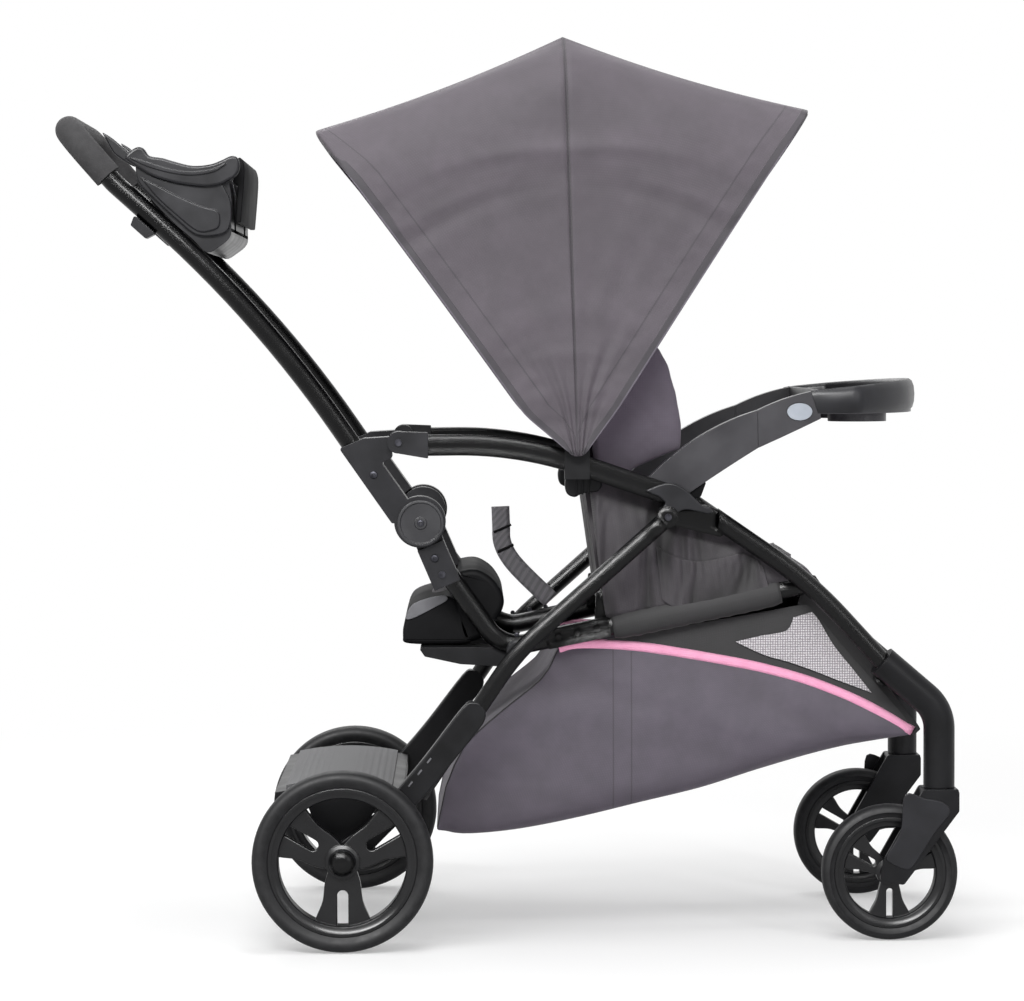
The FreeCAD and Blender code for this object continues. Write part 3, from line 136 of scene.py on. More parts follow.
def plate(name, outline, yLow, yHigh, bevel=1.5, segments=3, angle=35.0):
    # a side view outline filled, pushed across to its thickness and rounded at its rims
    bpy.ops.object.select_all(action="DESELECT")
    bpy.ops.mesh.primitive_circle_add(vertices=len(outline), fill_type="NGON")
    obj = nameNew(name)
    for vertex, point in zip(obj.data.vertices, outline):
        vertex.co = place(point[0], point[1], yLow)
    editAll(obj)
    bpy.ops.mesh.extrude_region_move(TRANSFORM_OT_translate={"value": (0, (yHigh - yLow) / 1000, 0)})
    bpy.ops.object.mode_set(mode="OBJECT")
    closeUp(obj)
    if bevel:
        applyModifier(obj, "BEVEL", width=bevel / 1000, segments=segments, limit_method="ANGLE",
                      angle_limit=math.radians(40), use_clamp_overlap=False)
    shadeByAngle(obj, angle)
    return obj


def turned(name, profile, x, z, y, steps=72, angle=35.0):
    # a closed profile of (radius, distance across) spun round a line across the stroller
    bpy.ops.object.select_all(action="DESELECT")
    bpy.ops.mesh.primitive_circle_add(vertices=len(profile), fill_type="NOTHING")
    obj = nameNew(name)
    for vertex, (radius, across) in zip(obj.data.vertices, profile):
        vertex.co = place(x + radius, z, y + across)
    editAll(obj)
    bpy.ops.mesh.spin(steps=steps, angle=2 * math.pi, center=place(x, z, y), axis=(0, 1, 0))
    bpy.ops.object.mode_set(mode="OBJECT")
    closeUp(obj)
    shadeByAngle(obj, angle)
    return obj


def mirrorAcross(obj):
    # the same form on the other side, in the same mesh
    applyModifier(obj, "MIRROR", use_axis=(False, True, False), use_mirror_merge=False)
    closeUp(obj)


def joinInto(obj, others):
    bpy.ops.object.select_all(action="DESELECT")
    for other in others:
        other.select_set(True)
    obj.select_set(True)
    bpy.context.view_layer.objects.active = obj
    bpy.ops.object.join()
    return obj


def copyMoved(obj, name, shift):
    # a copy with its own mesh, moved inside the mesh
    twin = obj.copy()
    twin.data = obj.data.copy()
    twin.name = twin.data.name = name
    bpy.context.scene.collection.objects.link(twin)
    twin.data.transform(Matrix.Translation(shift))
    return twin


def clothGrid(name, rows, loop=False):
    # a curved sheet from rows of points, with its own UV map in metres along and across the cloth
    across = len(rows[0])
    points = [tuple(p) for row in rows for p in row]
    faces = []
    for i in range(len(rows) - 1):
        for j in range(across if loop else across - 1):
            k = (j + 1) % across
            faces.append((i * across + j, i * across + k, (i + 1) * across + k, (i + 1) * across + j))
    mesh = bpy.data.meshes.new(name)
    mesh.from_pydata(points, [], faces)
    obj = bpy.data.objects.new(name, mesh)
    bpy.context.scene.collection.objects.link(obj)
    grid = np.array([[tuple(p) for p in row] for row in rows])
    u = np.zeros(grid.shape[:2])
    v = np.zeros(grid.shape[:2])
    u[:, 1:] = np.cumsum(np.linalg.norm(np.diff(grid, axis=1), axis=2), axis=1)
    v[1:, :] = np.cumsum(np.linalg.norm(np.diff(grid, axis=0), axis=2), axis=0)
    layer = mesh.uv_layers.new(name="cloth")
    for polygon in mesh.polygons:
        for corner in polygon.loop_indices:
            i, j = divmod(mesh.loops[corner].vertex_index, across)
            layer.data[corner].uv = (u[i, j], v[i, j])
    return obj


def thicken(obj, thickness, offset=0.0, levels=0):
    if levels:
        applyModifier(obj, "SUBSURF", levels=levels, render_levels=levels)
    applyModifier(obj, "SOLIDIFY", thickness=thickness / 1000, offset=offset)
    closeUp(obj)
    selectOnly(obj)
    bpy.ops.object.shade_smooth()


def pointValues(obj, name, values):
    attribute = obj.data.attributes.new(name, "FLOAT", "POINT")
    attribute.data.foreach_set("value", np.array(values, np.float32))


# Materials
def linear(hexColour):
    channels = [int(hexColour[i:i + 2], 16) / 255 for i in (1, 3, 5)]
    return [c / 12.92 if c <= 0.04045 else ((c + 0.055) / 1.055) ** 2.4 for c in channels] + [1.0]


def addNode(tree, kind, inputs=None, **settings):
    node = tree.nodes.new("ShaderNode" + kind)
    for key, value in settings.items():
        setattr(node, key, value)
    for key, value in (inputs or {}).items():
        if isinstance(value, bpy.types.NodeSocket):
            tree.links.new(value, node.inputs[key])
        else:
            node.inputs[key].default_value = value
    return node


def startMaterial(name, **constants):
    material = bpy.data.materials.new(name)
    material.use_nodes = True
    tree = material.node_tree
    shader = tree.nodes["Principled BSDF"]
    for key, value in constants.items():
        shader.inputs[key.replace("_", " ")].default_value = value
    coords = addNode(tree, "TexCoord")
    return material, tree, shader, coords


def finishSurface(tree, shader, colour=None, roughness=None, height=None, distance=0.0002, strength=1.0, soften=0.0):
    if colour is not None:
        tree.links.new(colour, shader.inputs["Base Color"])
    if roughness is not None:
        tree.links.new(roughness, shader.inputs["Roughness"])
    if soften:
        edge = addNode(tree, "Bevel", {"Radius": soften}, samples=8 if soften > 0.002 else 4)
    if height is not None:
        bump = addNode(tree, "Bump", {"Height": height, "Distance": distance, "Strength": strength})
        if soften:
            tree.links.new(edge.outputs["Normal"], bump.inputs["Normal"])
        tree.links.new(bump.outputs["Normal"], shader.inputs["Normal"])


def twoTone(tree, factor, first, second, low=0.35, high=0.65):
    # a ramp from one hex colour to another
    ramp = addNode(tree, "ValToRGB", {"Fac": factor})
    ramp.color_ramp.elements[0].position = low
    ramp.color_ramp.elements[1].position = high
    ramp.color_ramp.elements[0].color = linear(first)
    ramp.color_ramp.elements[1].color = linear(second)
    return ramp.outputs["Color"]


def span(tree, value, fromLow, fromHigh, toLow, toHigh):
    return addNode(tree, "MapRange", {"Value": value, "From Min": fromLow, "From Max": fromHigh,
                                      "To Min": toLow, "To Max": toHigh}).outputs["Result"]


def mixed(tree, factor, first, second):
    # a colour output mixed towards a hex colour; the Mix node's colour sockets are 6 and 7
    return addNode(tree, "Mix", {"Factor": factor, 6: first, 7: linear(second)}, data_type="RGBA").outputs[2]


def mouldedPlastic(name, first, second, roughness, grain=0.7, soften=0.0012, depth=0.00006, shine=0.3):
    # injection-moulded nylon: even dark colour, fine spark texture that breaks up the highlights
    material, tree, shader, coords = startMaterial(name, IOR=1.5, Specular_IOR_Level=shine)
    spark = addNode(tree, "TexNoise", {"Vector": coords.outputs["Object"], "Scale": 1000 / grain, "Detail": 2.0})
    patch = addNode(tree, "TexNoise", {"Vector": coords.outputs["Object"], "Scale": 1000 / 45, "Detail": 3.0})
    finishSurface(tree, shader, twoTone(tree, patch.outputs["Fac"], first, second),
                  span(tree, patch.outputs["Fac"], 0.3, 0.7, roughness - 0.05, roughness + 0.06),
                  spark.outputs["Fac"], depth, 0.5, soften)
    return material


def coatedTube(name, first, second, roughness):
    # gloss powder coat on steel: deep black with slight orange peel about 4 mm across
    material, tree, shader, coords = startMaterial(name, IOR=1.5, Specular_IOR_Level=0.2)
    peel = addNode(tree, "TexNoise", {"Vector": coords.outputs["Object"], "Scale": 1000 / 4, "Detail": 1.0})
    wear = addNode(tree, "TexNoise", {"Vector": coords.outputs["Object"], "Scale": 1000 / 60, "Detail": 4.0})
    finishSurface(tree, shader, twoTone(tree, wear.outputs["Fac"], first, second),
                  span(tree, wear.outputs["Fac"], 0.3, 0.7, roughness - 0.03, roughness + 0.05),
                  peel.outputs["Fac"], 0.00003, 0.6, 0.013)
    return material


def wovenCloth(name, first, second, thread=1.6, depth=0.00012, roughness=0.82, sheen=0.12, mottle=38.0, uv=True,
               crease=None, seams=()):
    # plain-woven polyester: a one by one weave, drawn about three times as coarse as the
    # real 0.5 mm thread so that it shows, over soft creases that run along the cloth and sewn seams across it
    material, tree, shader, coords = startMaterial(name, IOR=1.45, Sheen_Weight=sheen, Sheen_Roughness=0.45)
    source = coords.outputs["UV" if uv else "Object"]
    turns = 1000 / thread
    warp = addNode(tree, "TexWave", {"Vector": source, "Scale": turns / 6.2832, "Distortion": 0.6, "Detail": 1.0},
                   wave_type="BANDS", bands_direction="X")
    weft = addNode(tree, "TexWave", {"Vector": source, "Scale": turns / 6.2832, "Distortion": 0.6, "Detail": 1.0},
                   wave_type="BANDS", bands_direction="Y" if uv else "Z")
    weave = addNode(tree, "Math", {0: warp.outputs["Fac"], 1: weft.outputs["Fac"]}, operation="MULTIPLY")
    dye = addNode(tree, "TexNoise", {"Vector": coords.outputs["Object"], "Scale": 1000 / mottle, "Detail": 5.0,
                                     "Roughness": 0.6})
    tone = addNode(tree, "Math", {0: dye.outputs["Fac"], 1: span(tree, weave.outputs["Value"], 0, 1, -0.07, 0.07)},
                    operation="ADD")
    finishSurface(tree, shader, twoTone(tree, tone.outputs["Value"], first, second, 0.3, 0.7), None,
                  weave.outputs["Value"], depth, 0.55)
    shader.inputs["Roughness"].default_value = roughness
    if crease:
        ramp = next(n for n in tree.nodes if n.type == "VALTORGB")
        fine = next(n for n in tree.nodes if n.type == "BUMP")
        where = coords.outputs["UV" if crease["uv"] else "Object"]
        stretched = addNode(tree, "Mapping", {"Vector": where, "Scale": crease["scale"]})
        fold = addNode(tree, "TexNoise", {"Vector": stretched.outputs["Vector"], "Scale": 1.0, "Detail": 1.6,
                                          "Roughness": 0.5, "Distortion": 0.6})
        soft = addNode(tree, "Bump", {"Height": fold.outputs["Fac"], "Distance": crease["height"], "Strength": 1.0})
        tree.links.new(soft.outputs["Normal"], fine.inputs["Normal"])
        # the hollows between the folds hold less light
        shade = span(tree, fold.outputs["Fac"], 0.43, 0.56, crease["shade"], 0.0)
        tree.links.new(mixed(tree, shade, ramp.outputs["Color"], crease["deep"]), shader.inputs["Base Color"])
    if seams:
        across = addNode(tree, "SeparateXYZ", {"Vector": coords.outputs["Object"]}).outputs["X"]
        colour = shader.inputs["Base Color"].links[0].from_socket
        for x in seams:
            line = addNode(tree, "Math", {0: across, 1: (x - middleX) / 1000, 2: 0.0009}, operation="COMPARE")
            colour = mixed(tree, span(tree, line.outputs["Value"], 0, 1, 0, 0.5), colour, "#241f27")
        tree.links.new(colour, shader.inputs["Base Color"])
    return material


tubeBlack = coatedTube("powderCoatedSteel", "#030304", "#060607", 0.17)
framePlastic = mouldedPlastic("mouldedNylon", "#1a1a1d", "#222226", 0.36, shine=0.22)
darkPlastic = mouldedPlastic("mouldedNylonDark", "#0c0c0e", "#131316", 0.4, shine=0.16)
armPlastic = mouldedPlastic("mouldedNylonSatin", "#302f33", "#3a393d", 0.36)
capPlastic = mouldedPlastic("mouldedCoverPlastic", "#2c2c2f", "#353538", 0.4)
mattPlastic = mouldedPlastic("mouldedNylonMatt", "#0b0b0d", "#121214", 0.62, shine=0.06)
# a pale grey plastic: on the jump seat's top edge it is partly a silver band and partly a painted highlight
trimPlastic = mouldedPlastic("metallicTrimPlastic", "#58585c", "#6c6c70", 0.45)
rimPlastic = mouldedPlastic("mouldedRimPlastic", "#0d0d0f", "#141416", 0.3, shine=0.26)
buttonPlastic = mouldedPlastic("mouldedButtonAcetal", "#9aa0aa", "#abb1ba", 0.35, soften=0.0006)
# painted shade: each crease entry below darkens the hollows between its folds towards its darker colour, by its shade
# share
canopyCloth = wovenCloth("wovenPolyester", "#453e46", "#4f4750",
                         crease={"uv": True, "scale": (2.6, 7.0, 1.0), "height": 0.03, "shade": 0.3, "deep": "#322c33"})
# painted light: the canopy's polyester again, set in its own lighter tone on the seat back wings
wingCloth = wovenCloth("wovenPolyesterWing", "#584f5c", "#635a68", uv=False,
                       crease={"uv": False, "scale": (9.0, 9.0, 5.0), "height": 0.012, "shade": 0.15,
                               "deep": "#3a333d"})
basketCloth = wovenCloth("wovenPolyesterBasket", "#4b4550", "#564f5b",
                         crease={"uv": False, "scale": (3.5, 3.5, 8.0), "height": 0.02, "shade": 0.22,
                                 "deep": "#383139"},
                         seams=(347.0, 370.5))
sideCloth = wovenCloth("wovenPolyesterDark", "#2c272d", "#3b363c",
                       crease={"uv": False, "scale": (21.0, 21.0, 5.0), "height": 0.06, "shade": 0.85,
                               "deep": "#0e0c0e"})
blackCloth = wovenCloth("wovenPolyesterBlack", "#141315", "#1d1b1e")
padCloth = wovenCloth("quiltedPolyester", "#3b373c", "#48434a", uv=False)
pipingCloth = wovenCloth("pinkBiasTape", "#ec9abf", "#f4aacb", thread=1.2, mottle=20.0)


def closedCellFoam():
    # closed-cell rubber foam grip: matt, with a skin of fine pores about 1.2 mm across
    material, tree, shader, coords = startMaterial("closedCellFoam", IOR=1.4)
    pores = addNode(tree, "TexVoronoi", {"Vector": coords.outputs["Object"], "Scale": 1000 / 1.6})
    tone = addNode(tree, "TexNoise", {"Vector": coords.outputs["Object"], "Scale": 1000 / 12, "Detail": 4.0})
    finishSurface(tree, shader, twoTone(tree, tone.outputs["Fac"], "#1d1c1e", "#282729"), None,
                  pores.outputs["Distance"], 0.0004, 0.6)
    shader.inputs["Roughness"].default_value = 0.88
    return material


def foamTyre():
    # moulded EVA tyre: dull dark skin with faint scuffing along the tread
    material, tree, shader, coords = startMaterial("mouldedEva", IOR=1.45, Specular_IOR_Level=0.25)
    scuff = addNode(tree, "TexNoise", {"Vector": coords.outputs["Object"], "Scale": 1000 / 9, "Detail": 6.0})
    finishSurface(tree, shader, twoTone(tree, scuff.outputs["Fac"], "#101012", "#1b1b1d"),
                  span(tree, scuff.outputs["Fac"], 0.3, 0.7, 0.52, 0.66), scuff.outputs["Fac"], 0.0002, 0.4)
    return material


def zincPlate(name, first, second, roughness):
    # zinc-plated steel: bright metal with a faint cloudy passivation
    material, tree, shader, coords = startMaterial(name, Metallic=1.0)
    cloud = addNode(tree, "TexNoise", {"Vector": coords.outputs["Object"], "Scale": 1000 / 6, "Detail": 4.0})
    finishSurface(tree, shader, twoTone(tree, cloud.outputs["Fac"], first, second),
                  span(tree, cloud.outputs["Fac"], 0.3, 0.7, roughness - 0.06, roughness + 0.08))
    return material


def studdedRubber():
    # rubber tread mat: small round studs on a 9 mm pitch, with painted light on their raised tops and painted shade
    # between them
    material, tree, shader, coords = startMaterial("studdedRubber", IOR=1.5)
    studs = addNode(tree, "TexVoronoi", {"Vector": coords.outputs["Object"], "Scale": 1000 / 9, "Randomness": 0.0})
    raised = span(tree, studs.outputs["Distance"], 0.25, 0.4, 1.0, 0.0)
    # the colour follows the studs' height: painted light and shade
    finishSurface(tree, shader, twoTone(tree, raised, "#49494b", "#59595b", 0.2, 0.8), None, raised, 0.001, 0.8)
    shader.inputs["Roughness"].default_value = 0.7
    return material


def nylonWebbing():
    # flat nylon webbing: close ribs across the strap
    material, tree, shader, coords = startMaterial("nylonWebbing", IOR=1.5, Sheen_Weight=0.1)
    ribs = addNode(tree, "TexWave", {"Vector": coords.outputs["UV"], "Scale": 1000 / 2.4 / 6.2832, "Distortion": 0.3},
                   wave_type="BANDS", bands_direction="DIAGONAL")
    finishSurface(tree, shader, twoTone(tree, ribs.outputs["Fac"], "#77747a", "#8c898f"), None,
                  ribs.outputs["Fac"], 0.0003, 0.6)
    shader.inputs["Roughness"].default_value = 0.75
    return material


def knittedMesh():
    # knitted mesh window: pale open holes in rows, 3 mm apart, on grey threads
    material, tree, shader, coords = startMaterial("knittedMesh", IOR=1.45, Sheen_Weight=0.1)
    holes = addNode(tree, "TexVoronoi", {"Vector": coords.outputs["UV"], "Scale": 1000 / 3.2, "Randomness": 0.15})
    open_ = span(tree, holes.outputs["Distance"], 0.30, 0.42, 0.0, 1.0)
    finishSurface(tree, shader, twoTone(tree, open_, "#d2ced2", "#8d888d", 0.2, 0.8), None, open_, 0.0004, 0.7)
    shader.inputs["Roughness"].default_value = 0.8
    return material


gripFoam = closedCellFoam()
tyreFoam = foamTyre()
screwZinc = zincPlate("blackZincPlate", "#2c2c30", "#3b3b40", 0.35)
axleZinc = zincPlate("brightZincPlate", "#a8a8ac", "#c0c0c4", 0.3)
treadRubber = studdedRubber()
strapWebbing = nylonWebbing()
windowMesh = knittedMesh()


def canopyMaterial():
    # the same woven polyester, with a dark folded binding at the hem, a sewn hem line and a centre seam
    material = canopyCloth.copy()
    material.name = "wovenPolyesterBound"
    tree = material.node_tree
    shader = tree.nodes["Principled BSDF"]
    bump = next(n for n in tree.nodes if n.type == "BUMP")
    woven = shader.inputs["Base Color"].links[0].from_socket
    fromHem = addNode(tree, "Attribute", attribute_name="fromHem").outputs["Fac"]
    fromSeam = addNode(tree, "Attribute", attribute_name="fromSeam").outputs["Fac"]
    alongHem = addNode(tree, "Attribute", attribute_name="alongHem").outputs["Fac"]
    binding = span(tree, fromHem, 0.0095, 0.0105, 1.0, 0.0)
    lip = span(tree, fromHem, 0.0012, 0.0022, 1.0, 0.0)
    hemLine = span(tree, addNode(tree, "Math", {0: fromHem, 1: 0.034, 2: 0.0011}, operation="COMPARE").outputs["Value"],
                   0, 1, 0, 1)
    seamLine = span(tree, fromSeam, 0.0008, 0.0022, 1.0, 0.0)
    pucker = addNode(tree, "TexWave", {"Vector": addNode(tree, "CombineXYZ", {"X": alongHem}).outputs["Vector"],
                                       "Scale": 1000 / 17 / 6.2832, "Distortion": 3.0, "Detail": 1.0},
                     wave_type="BANDS", bands_direction="X")
    nearHem = span(tree, addNode(tree, "Math", {0: addNode(tree, "Math", {0: fromHem, 1: 0.034},
                                                             operation="SUBTRACT").outputs["Value"]},
                                 operation="ABSOLUTE").outputs["Value"], 0.0, 0.012, 1.0, 0.0)
    folds = addNode(tree, "Math", {0: pucker.outputs["Fac"], 1: nearHem}, operation="MULTIPLY")
    lines = addNode(tree, "Math", {0: hemLine, 1: seamLine}, operation="MAXIMUM")
    darker = mixed(tree, span(tree, lines.outputs["Value"], 0, 1, 0, 0.55), woven, "#2a262d")
    bound = mixed(tree, span(tree, binding, 0, 1, 0, 0.85), darker, "#2b272e")
    lipped = mixed(tree, span(tree, lip, 0, 1, 0, 0.6), bound, "#6d6673")
    tree.links.new(lipped, shader.inputs["Base Color"])
    sunk = addNode(tree, "Math", {0: lines.outputs["Value"], 1: -1.0}, operation="MULTIPLY")
    raised = addNode(tree, "Math", {0: sunk.outputs["Value"], 1: folds.outputs["Value"]}, operation="ADD")
    high = addNode(tree, "Math", {0: raised.outputs["Value"], 1: binding}, operation="ADD")
    second = addNode(tree, "Bump", {"Height": high.outputs["Value"], "Distance": 0.0012, "Strength": 0.8,
                                    "Normal": bump.outputs["Normal"]})
    tree.links.new(second.outputs["Normal"], shader.inputs["Normal"])
    return material


print("materials made")
# Kept frame nodes take their finish here.
finishes = {
    tubeBlack: ["handle_tube", "push_tubes", "side_rails", "rear_legs", "front_legs", "front_crossbar",
                "seat_cross_bars", "seat_brackets", "canopy_rear_bow", "canopy_mid_bow", "canopy_front_bow"],
    framePlastic: ["fold_trigger_r", "fold_trigger_l", "upper_hinges", "lower_hinges",
                   "rail_ends", "cross_pivots"],
    darkPlastic: ["seat_base", "harness_buckle", "rear_seat_bracket", "brake_pedal", "caster_housings",
                  "caster_fork_r", "caster_fork_l", "canopy_hubs", "standing_platform"],
    sideCloth: ["seat_back"],
    armPlastic: ["tray_arms", "child_tray"],
    buttonPlastic: ["tray_button_r", "tray_button_l"],
    axleZinc: ["rear_axle"],
    screwZinc: ["frame_screws"],
    treadRubber: ["platform_tread"],
    gripFoam: ["handle_grip"],
}
for material, names in finishes.items():
    for name in names:
        nodes[name].data.materials.clear()
        nodes[name].data.materials.append(material)


def dress(obj, material, body, replaced=()):
    obj.data.materials.clear()
    obj.data.materials.append(material)
    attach(obj, body)
    if replaced:
        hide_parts(*replaced)
    return obj


# Wheels: a spun foam tyre and a moulded rim whose three spokes are split to the rim.
wheelSizes = {
    "rear": {"radius": 115.0, "width": 42.0, "axleX": 0.0, "y": 254.0, "openRadius": 81.0, "rimRadius": 95.4,
             "hub": 17.0, "spokeRoot": 20.0, "spokeTip": 34.0, "slotHalf": 7.0, "slotStart": 36.0},
    "front": {"radius": 87.5, "width": 34.0, "axleX": 701.0, "y": 185.0, "openRadius": 58.7, "rimRadius": 72.6,
              "hub": 12.5, "spokeRoot": 12.0, "spokeTip": 25.0, "slotHalf": 4.3, "slotStart": 21.0},
}


def spokeOutline(size, degrees, axleZ):
    # one spoke from the hub out under the ring, its sides drawn in and its slot open at the rim
    reach = size["openRadius"] + 5
    waist = (size["spokeRoot"] + size["spokeTip"]) / 2 - 1.5
    slot = size["slotHalf"]
    side = [(6, -size["spokeRoot"] * 0.8), (size["hub"] + 9, -size["spokeRoot"] * 1.12),
            (size["openRadius"] * 0.62, -waist), (size["openRadius"] * 0.88, -size["spokeTip"]),
            (reach, -size["spokeTip"] * 1.12)]
    side = smoothLine([(a, b, 0) for a, b in side], 4, closed=False)
    left = [(p.x, p.y) for p in side] + [(reach, -slot)]
    for step in range(7):
        turn = math.pi / 2 * step / 6
        left.append((size["slotStart"] + slot * (1 - math.sin(turn)), -slot * math.cos(turn)))
    right = [(a, -b) for a, b in reversed(left[:-1])]
    angle = math.radians(degrees)
    return [(size["axleX"] + a * math.cos(angle) - b * math.sin(angle),
             axleZ + a * math.sin(angle) + b * math.cos(angle)) for a, b in left + right]


for end, size in wheelSizes.items():
    radius, half, rim = size["radius"], size["width"] / 2, size["rimRadius"]
    tread = [(rim - 1.5, -half * 0.72), (rim + 1.5, -half * 0.8), (rim + 5, -half * 0.94),
             (radius - 9, -half), (radius - 4.5, -half * 0.93), (radius - 1.4, -half * 0.74),
             (radius - 0.3, -half * 0.4), (radius, 0)]
    profile = tread + [(r, -y) for r, y in reversed(tread[:-1])]
    tyre = turned("new", profile, size["axleX"], radius, -size["y"], steps=96, angle=60)
    ringHalf = half * 0.8
    ring = [(rim, -ringHalf * 0.9), (rim - 1.5, -ringHalf), (rim - 5, -ringHalf), (rim - 8, -ringHalf + 2.2),
            (size["openRadius"] + 1.5, -ringHalf + 3), (size["openRadius"], -ringHalf + 5)]
    ring = ring + [(r, -y) for r, y in reversed(ring)]
    rimBody = turned("new", ring, size["axleX"], radius, -size["y"], steps=96)
    hub = [(0, -half), (size["hub"] * 0.45, -half + 0.6), (size["hub"] * 0.8, -half + 2.8),
           (size["hub"], -half + 6.5), (size["hub"] + 0.4, -half + 8), (size["hub"] + 5, -half + 10)]
    hub = hub + [(r, -y) for r, y in reversed(hub)]
    boss = turned("new", hub, size["axleX"], radius, -size["y"], steps=48)
    spokes = [plate("new", spokeOutline(size, degrees, radius), -size["y"] - 7, -size["y"] + 7, 1.6, 3)
              for degrees in (-90, 30, 150)]
    for spoke in spokes:
        joinInto(rimBody, [spoke])
    joinInto(rimBody, [boss])
    for side, letter, word in ((-1, "r", "right"), (1, "l", "left")):
        shift = (0, 0, 0) if side < 0 else (0, 2 * size["y"] / 1000, 0)
        newTyre = copyMoved(tyre, f"{end}_tyre_foam_{letter}", shift)
        dress(newTyre, tyreFoam, f"{end}_wheel_{word}", [f"{end}_tyre_{letter}"])
        newRim = copyMoved(rimBody, f"{end}_rim_moulded_{letter}", shift)
        dress(newRim, rimPlastic, f"{end}_wheel_{word}", [f"{end}_rim_{letter}"])
    bpy.data.objects.remove(tyre)
    bpy.data.objects.remove(rimBody)
print("wheels made")

# Canopy: two bound cloth panels stretched over the three bows, each one continuous sheet.
canopy = {"hubX": 300.0, "hubZ": 640.0, "rear": 129.5, "mid": 91.65, "front": 55.0, "radius": 523.2,
          "half": 213.8, "corner": 88.0, "lobe": 15.0, "sag": 7.0, "columns": 16}


def hoopStations():
    # (distance from the hub line, distance across, outward direction) along one bow, near to far
    r, half, corner = canopy["radius"], canopy["half"], canopy["corner"]
    near = [(d, -half, (0, -1)) for d in np.linspace(62, r - corner, 15)]
    for degrees in (15, 30, 45, 60, 75, 90):
        a = math.radians(degrees)
        near.append((r - corner + corner * math.sin(a), -half + corner - corner * math.cos(a),
                     (math.sin(a), -math.cos(a))))
    middle = [(r, y, (1, 0)) for y in np.linspace(-(half - corner), half - corner, 11)[1:-1]]
    far = [(d, -y, (n[0], -n[1])) for d, y, n in reversed(near)]
    return near + middle + far


def canopyPoint(distance, across, out, share, angles, hems):
    # a place between two bows: straight between them, drawn in a little, and past the outer bow at the hem
    hub = Vector((canopy["hubX"], 0, canopy["hubZ"]))
    rays = [Vector((math.cos(math.radians(a)), 0, math.sin(math.radians(a)))) for a in angles]
    first, last = hub + rays[0] * distance, hub + rays[1] * distance
    inShare = max(0.0, share)
    point = first.lerp(last, inShare)
    outward = (first - last).normalized()
    nearHub = max(0.0, 1 - (distance - 62) / 400)
    hem = hems[1] + (hems[0] - hems[1]) * nearHub ** 1.2
    if share < 0:
        round_ = -share * math.pi / 2
        point += outward * hem * math.sin(round_)
        point -= rays[0] * out[0] * hems[2] * (1 - math.cos(round_))
    belly = 4 * inShare * (1 - inShare)
    radial = (point - hub).normalized()
    point -= radial * out[0] * canopy["sag"] * belly
    fold = math.sin(2 * math.pi * (3.1 * inShare + 0.2)) * 1.9 * max(0.0, 1 - distance / 360) * belly
    fold += math.sin(2 * math.pi * (4.3 * inShare + distance / 170)) * 0.9 * belly * out[1] ** 2
    side = across + (-out[1]) * canopy["sag"] * 0.35 * belly * (1 if distance > 150 else 0.4)
    side += out[1] * (7.0 * max(0.0, 1 - distance / 200) + fold)
    return Vector((point.x, side, point.z))


def canopyPanel(name, node, angles, hems, lobeAngles, outerFirst):
    shares = [-1.0, -0.7, -0.4, -0.15] + list(np.linspace(0, 1, canopy["columns"]))
    hub = Vector((canopy["hubX"], 0, canopy["hubZ"]))
    rows = [[canopyPoint(d, y, out, share, angles, hems) for share in shares] for d, y, out in hoopStations()]
    lobe = []
    for i, share in enumerate(shares):
        turn = math.radians(lobeAngles[0] + (lobeAngles[1] - lobeAngles[0]) * i / (len(shares) - 1))
        lobe.append(hub + Vector((math.cos(turn), 0, math.sin(turn))) * canopy["lobe"])
    for side, row in ((-1, 0), (1, -1)):
        edge = rows[row]
        extra = []
        for t in (0.0, 0.25, 0.5, 0.75):
            line = []
            for start, end in zip(lobe, edge):
                line.append(Vector((start.x + (end.x - start.x) * t, end.y + side * 2.2 * (1 - t),
                                    start.z + (end.z - start.z) * t)))
            extra.append(line)
        rows = extra + rows if side < 0 else rows + extra[::-1]
    rows = [[place(p.x, p.z, p.y) for p in row] for row in rows]
    panel = clothGrid(name, rows)
    count = len(shares)
    fromHem, fromSeam, alongHem, bend = [], [], [], []
    for row in rows:
        run = np.cumsum([0.0] + [(row[j + 1] - row[j]).length for j in range(count - 1)])
        fromHem += list(run)
        fromSeam += list(run[-1] - run)
        bend += [min(1.0, max(0.0, s)) for s in shares]
    length = 0.0
    for i, row in enumerate(rows):
        length += (row[0] - rows[i - 1][0]).length if i else 0.0
        alongHem += [length] * count
    for key, values in (("fromHem", fromHem), ("fromSeam", fromSeam), ("alongHem", alongHem), ("bend", bend)):
        pointValues(panel, key, values)
    thicken(panel, 1.2, 0.0, 1)
    panel.data.materials.append(canopyBound)
    ends = [place(canopy["hubX"] + 300 * math.cos(math.radians(a)), canopy["hubZ"] + 300 * math.sin(math.radians(a)))
            for a in angles]
    if not outerFirst:
        ends.reverse()
    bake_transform(panel)
    # the cloth's share of the way between the two bows is read back from the bend attribute
    weights = np.zeros(len(panel.data.vertices), np.float32)
    panel.data.attributes["bend"].data.foreach_get("value", weights)
    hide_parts(node)
    return panel


canopyBound = canopyMaterial()
rearPanel = canopyPanel("canopy_rear_cloth", "canopy_rear_panel", (canopy["rear"], canopy["mid"]), (30.0, 6.0, 24.0),
                        (219.5, 271.65), True)
frontPanel = canopyPanel("canopy_front_cloth", "canopy_front_panel", (canopy["front"], canopy["mid"]), (18.0, 3.0, 6.0),
                         (325.0, 271.65), False)
print("canopy made")

# Seat hammock: cloth sides with an elastic-topped pocket, a quilted cushion and back, and two head wings.
tubeBendX, tubeBendZ, tubeSlope = 203.0, 376.0, math.atan2(80.0, 387.0)


def overTube(distance, height):
    return (tubeBendX + distance * math.cos(tubeSlope) - height * math.sin(tubeSlope),
            tubeBendZ + distance * math.sin(tubeSlope) + height * math.cos(tubeSlope))


